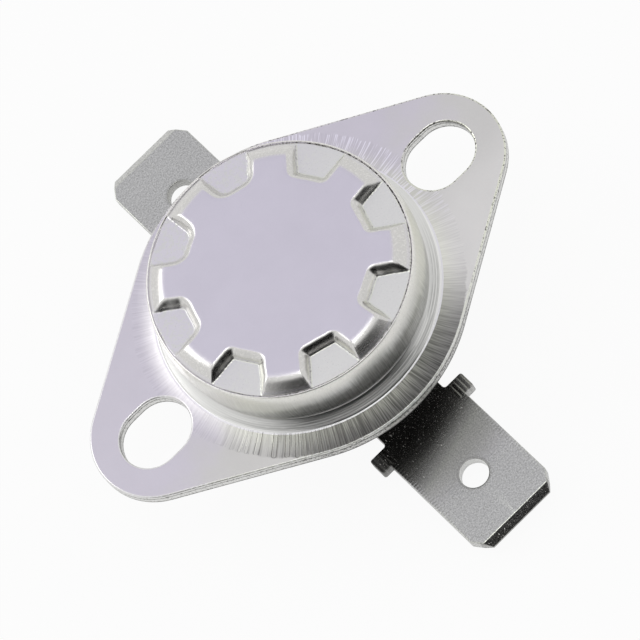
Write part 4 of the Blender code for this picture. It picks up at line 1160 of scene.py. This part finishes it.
class THERMOSTAT_OT_terminals(Operator):
    """Models the two flat tabs with their wings, holes and bevelled tips"""

    bl_idname = "thermostat.terminals"
    bl_label = "Terminals"

    def execute(self, context):
        s = context.scene.thermostat_terminals
        inner = context.scene.thermostat_inner
        paint = TerminalPaint(s, context.scene.thermostat_finishes).finish()
        tabs = ((1, "arm_tab", "arm_side_terminal"), (-1, "fixed_tab", "fixed_side_terminal"))
        for side, name, node in tabs:
            tab = finish_piece(name, make_terminal(s, inner, side), paint, "housing", node, 60)
            flat = tab.modifiers.new("flat_faces", "WEIGHTED_NORMAL")
            flat.keep_sharp = True
        return {"FINISHED"}


def soften_node(node, paint, body, width):
    """A merged copy of a CAD node with rounded edges and its finish."""
    shape = bmesh.new()
    shape.from_mesh(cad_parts[node].data)
    bmesh.ops.remove_doubles(shape, verts=shape.verts, dist=MICRON)
    bmesh.ops.dissolve_limit(shape, angle_limit=radians(1), verts=shape.verts, edges=shape.edges)
    piece = finish_piece("finished_" + node, shape, paint, body, node, SOFT_ANGLE)
    bevel = piece.modifiers.new("edge_roll", "BEVEL")
    bevel.width = width
    bevel.segments = 2
    bevel.limit_method = "ANGLE"
    bevel.angle_limit = radians(SOFT_ANGLE)
    bevel.harden_normals = True
    return piece


class THERMOSTAT_OT_base(Operator):
    """Rounds the edges of the moulded base and its guide plate and gives them their finish"""

    bl_idname = "thermostat.base"
    bl_label = "Base"

    def execute(self, context):
        paint = moulding_paint(context.scene.thermostat_finishes)
        soften_node("base", paint, "housing", 0.00008)
        soften_node("guide_plate", paint, "housing", 0.00005)
        return {"FINISHED"}


class THERMOSTAT_OT_disc(Operator):
    """Models the domed bimetal disc"""

    bl_idname = "thermostat.disc"
    bl_label = "Bimetal disc"

    def execute(self, context):
        s = context.scene.thermostat_inner
        disc = bmesh.new()
        radius = DISC_HIGH.x
        top = DISC_HIGH.z
        half = s.disc_thickness / 2
        dome = (radius**2 + s.disc_crown**2) / (2 * s.disc_crown)
        sweep = degrees(asin((radius - half) / dome))
        pen = Pen(disc, (0, 0, top))
        pen.arc((0, 0, top - dome), sweep, 24, Y_AXIS)
        pen.arc(pen.tip.co - Vector((0, 0, half)), 180, 6, Y_AXIS)
        pen.arc((0, 0, top - dome - s.disc_thickness), -sweep, 24, Y_AXIS)
        pen.tip.co.x = 0
        turn_about_z(disc, s.disc_steps)
        bmesh.ops.recalc_face_normals(disc, faces=disc.faces)
        paint = bimetal_paint(context.scene.thermostat_finishes)
        piece = finish_piece("snap_disc", disc, paint, "disc", "bimetal_disc", 60)
        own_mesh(piece)
        return {"FINISHED"}


class THERMOSTAT_OT_contact_arm(Operator):
    """Models the flat spring arm, with cuts across it between its clamp and the contact"""

    bl_idname = "thermostat.contact_arm"
    bl_label = "Contact arm"

    def execute(self, context):
        s = context.scene.thermostat_inner
        arm = bmesh.new()
        top = ARM_HIGH.z
        heel = s.rivet_offset
        tip = -s.contact_offset
        lean = asin((s.heel_radius - s.tip_radius) / (heel - tip))
        sweep = 180 + 2 * degrees(lean)
        pen = Pen(arm, (s.heel_radius * cos(lean), heel - s.heel_radius * sin(lean), top))
        pen.arc((0, heel, top), sweep, 32)
        pen.line((-s.tip_radius * cos(lean), tip - s.tip_radius * sin(lean), top))
        pen.arc((0, tip, top), 360 - sweep, 24)
        pen.close()
        draw_circle(arm, (0, heel, top), s.rivet_hole, 32)
        fill_plate(arm, top - ARM_LOW.z, s.arm_band)
        for index in range(s.bend_cuts):
            y = s.bend_start + (s.bend_end - s.bend_start) * index / (s.bend_cuts - 1)
            cut_across(arm, (0, y, 0), Y_AXIS)
        round_edges(arm, sharp_edges(arm, 60), s.arm_roll, 2)
        paint = metal_paint("spring_bronze", context.scene.thermostat_finishes.bronze, 0.26)
        piece = finish_piece("spring_arm", arm, paint, None, "contact_arm", 30)
        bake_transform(piece)
        return {"FINISHED"}


class THERMOSTAT_OT_inner_pieces(Operator):
    """Finishes the rivets, the washer, the pin, the plate and the contacts"""

    bl_idname = "thermostat.inner_pieces"
    bl_label = "Inner pieces"

    def execute(self, context):
        f = context.scene.thermostat_finishes
        brass = metal_paint("rivet_brass", f.brass, 0.28)
        strip = metal_paint("plated_strip", f.terminal, 0.3)
        silver = metal_paint("contact_silver", f.silver, 0.24)
        steatite = ceramic_paint(f)
        pieces = (
            ("arm_side_rivet", brass, "housing", "rivets", 0.00004),
            ("fixed_side_rivet", brass, "housing", "rivets", 0.00004),
            ("arm_washer", brass, "housing", "rivets", 0.00004),
            ("fixed_contact_plate", strip, "housing", "terminals", 0.00004),
            ("fixed_contact", silver, "housing", "contacts", 0.00003),
            ("moving_contact", silver, "arm", "contacts", 0.00003),
            ("transfer_pin", steatite, "pin", "pin", 0.00004),
        )
        for node, paint, body, slot, width in pieces:
            soften_node(node, paint, body, width)
        return {"FINISHED"}


def add_lamp(name, way, distance, size, strength):
    """A round soft lamp of a given radiance that faces the object."""
    way = Vector(way)
    lamp = bpy.data.lights.new(name, "AREA")
    lamp.shape = "DISK"
    lamp.size = size
    lamp.energy = strength * pi * pi * (size / 2) ** 2
    light = bpy.data.objects.new(name, lamp)
    light.location = way.normalized() * distance
    light.rotation_euler = way.to_track_quat("Z", "Y").to_euler()
    bpy.context.scene.collection.objects.link(light)


def stage_object(name, shape, material, mirrored_only=False):
    """A staged item; one that is only mirrored is hidden from the camera and from the light."""
    mesh = bpy.data.meshes.new(name)
    shape.to_mesh(mesh)
    shape.free()
    mesh.materials.append(material)
    item = bpy.data.objects.new(name, mesh)
    bpy.context.scene.collection.objects.link(item)
    if mirrored_only:
        item.visible_camera = False
        item.visible_diffuse = False
        item.visible_shadow = False


def floor_paint(s):
    """White to the camera and to reflections, and plain pale to the light, so that a shadow stays."""
    paint = Paint("pale_floor")
    camera = paint.node("ShaderNodeLightPath", output="Is Camera Ray")
    mirrored = camera.output("Is Glossy Ray").at_least(camera.output("Is Transmission Ray"))
    dull = paint.node("ShaderNodeBsdfDiffuse", None, {"Color": shade(s.floor_colour)})
    glow = paint.node("ShaderNodeEmission", None, {"Color": (1.0, 1.0, 1.0, 1.0), "Strength": 1.0})
    return paint.mix_surface((camera * s.floor_seen).at_least(mirrored * s.floor_mirrored), dull, glow)


def panel_paint(s):
    """Pale lavender in the middle of the panel and clear towards its edge, for reflections only."""
    paint = Paint("pale_panel")
    glow = paint.node("ShaderNodeEmission", None, {"Color": shade(s.panel_colour), "Strength": 1.0})
    clear = paint.node("ShaderNodeBsdfTransparent")
    reach = tan(s.panel_reach) * s.panel_distance * MM
    sockets = {0: paint.place, 1: Vector(s.panel_way) * s.panel_distance * MM}
    off_middle = paint.node("ShaderNodeVectorMath", {"operation": "DISTANCE"}, sockets, "Value")
    return paint.mix_surface(off_middle.ramp(reach, reach * s.panel_solid), clear, glow)


def card_paint(s):
    """Black in the middle of the card and clear towards its edges."""
    paint = Paint("black_card")
    rise = paint.z / (paint.radius * paint.radius + paint.z * paint.z) ** 0.5
    bearing = paint.bearing()
    start = s.card_start
    end = s.card_start + s.card_sweep
    cover = rise.ramp(sin(s.card_top), sin(s.card_top - s.card_fade_top))
    cover = cover * bearing.ramp(start, start + s.card_fade_start) * bearing.ramp(end, end - s.card_fade_end)
    black = paint.node("ShaderNodeBsdfDiffuse", None, {"Color": shade(s.card_colour)})
    return paint.mix_surface(cover, paint.node("ShaderNodeBsdfTransparent"), black)


def make_card(s):
    """A piece of a sphere around the object."""
    card = bmesh.new()
    pen = Pen(card, (s.card_radius, 0, s.card_rise))
    pen.arc((0, 0, 0), -degrees(s.card_top), 16, Y_AXIS)
    bmesh.ops.rotate(card, verts=card.verts, cent=(0, 0, 0), matrix=Matrix.Rotation(s.card_start, 3, "Z"))
    edges = card.verts[:] + card.edges[:]
    bmesh.ops.spin(card, geom=edges, cent=(0, 0, 0), axis=Z_AXIS, angle=s.card_sweep, steps=32)
    return card


def make_panel(s):
    """A round panel that faces the object."""
    panel = bmesh.new()
    way = Vector(s.panel_way)
    place = Matrix.Translation(way * s.panel_distance) @ way.to_track_quat("Z", "Y").to_matrix().to_4x4()
    radius = tan(s.panel_reach) * s.panel_distance
    bmesh.ops.create_circle(panel, cap_ends=True, segments=64, radius=radius, matrix=place)
    return panel


def set_world(scene, s):
    """Even studio light, white to the camera and in reflections."""
    world = bpy.data.worlds.new("studio")
    world.use_nodes = True
    studio = NodeTree(world.node_tree)
    camera = studio.node("ShaderNodeLightPath", output="Is Camera Ray")
    seen = camera.at_least(camera.output("Is Glossy Ray")).at_least(camera.output("Is Transmission Ray"))
    level = seen * (1 - s.world_level) + s.world_level
    glow = studio.node("ShaderNodeBackground", None, {"Strength": level})
    studio.node("ShaderNodeOutputWorld", None, {"Surface": glow})
    scene.world = world


def set_camera(scene, s):
    lens = bpy.data.cameras.new("camera")
    lens.lens = s.lens
    lens.clip_start = 0.01
    lens.clip_end = 20
    camera = bpy.data.objects.new("camera", lens)
    camera.location = s.camera_place
    camera.rotation_euler = Euler(s.camera_turn)
    scene.collection.objects.link(camera)
    scene.camera = camera


class THERMOSTAT_OT_stage(Operator):
    """Sets the floor, the lamps, the black card, the pale panel, the world and the camera"""

    bl_idname = "thermostat.stage"
    bl_label = "Stage"

    def execute(self, context):
        scene = context.scene
        s = scene.thermostat_stage
        scene.view_settings.view_transform = "Standard"
        floor = bmesh.new()
        bmesh.ops.create_grid(floor, x_segments=1, y_segments=1, size=s.floor_size / 2)
        stage_object("floor", floor, floor_paint(s))
        stage_object("black_card", make_card(s), card_paint(s), mirrored_only=True)
        stage_object("pale_panel", make_panel(s), panel_paint(s), mirrored_only=True)
        add_lamp("overhead_softbox", s.box_way, s.box_distance, s.box_size, s.box_strength)
        add_lamp("key", s.key_way, s.key_distance, s.key_size, s.key_strength)
        set_world(scene, s)
        set_camera(scene, s)
        return {"FINISHED"}


GROUPS = {
    "thermostat_cap": CapSizes,
    "thermostat_terminals": TerminalSizes,
    "thermostat_inner": InnerSizes,
    "thermostat_finishes": Finishes,
    "thermostat_stage": StageSizes,
}

OPERATORS = (
    THERMOSTAT_OT_stage,
    THERMOSTAT_OT_cap,
    THERMOSTAT_OT_terminals,
    THERMOSTAT_OT_base,
    THERMOSTAT_OT_disc,
    THERMOSTAT_OT_contact_arm,
    THERMOSTAT_OT_inner_pieces,
)


class THERMOSTAT_PT_looks(Panel):
    """Sizes, finishes and the operators of the thermostat"""

    bl_idname = "THERMOSTAT_PT_looks"
    bl_label = "Thermostat"
    bl_space_type = "VIEW_3D"
    bl_region_type = "UI"
    bl_category = "Thermostat"

    def draw(self, context):
        for name, group in GROUPS.items():
            column = self.layout.column(align=True)
            for key in group.__annotations__:
                column.prop(getattr(context.scene, name), key)
        for operator in OPERATORS:
            self.layout.operator(operator.bl_idname)


def register():
    for item in (*GROUPS.values(), *OPERATORS, THERMOSTAT_PT_looks):
        bpy.utils.register_class(item)
    for name, group in GROUPS.items():
        setattr(bpy.types.Scene, name, PointerProperty(type=group))


def unregister():
    for name in GROUPS:
        delattr(bpy.types.Scene, name)
    for item in (THERMOSTAT_PT_looks, *reversed(OPERATORS), *reversed(GROUPS.values())):
        bpy.utils.unregister_class(item)


def main():
    register()
    bpy.ops.thermostat.stage()
    bpy.ops.thermostat.cap()
    bpy.ops.thermostat.terminals()
    bpy.ops.thermostat.base()
    bpy.ops.thermostat.disc()
    bpy.ops.thermostat.contact_arm()
    bpy.ops.thermostat.inner_pieces()


if __name__ == "__main__":
    main()
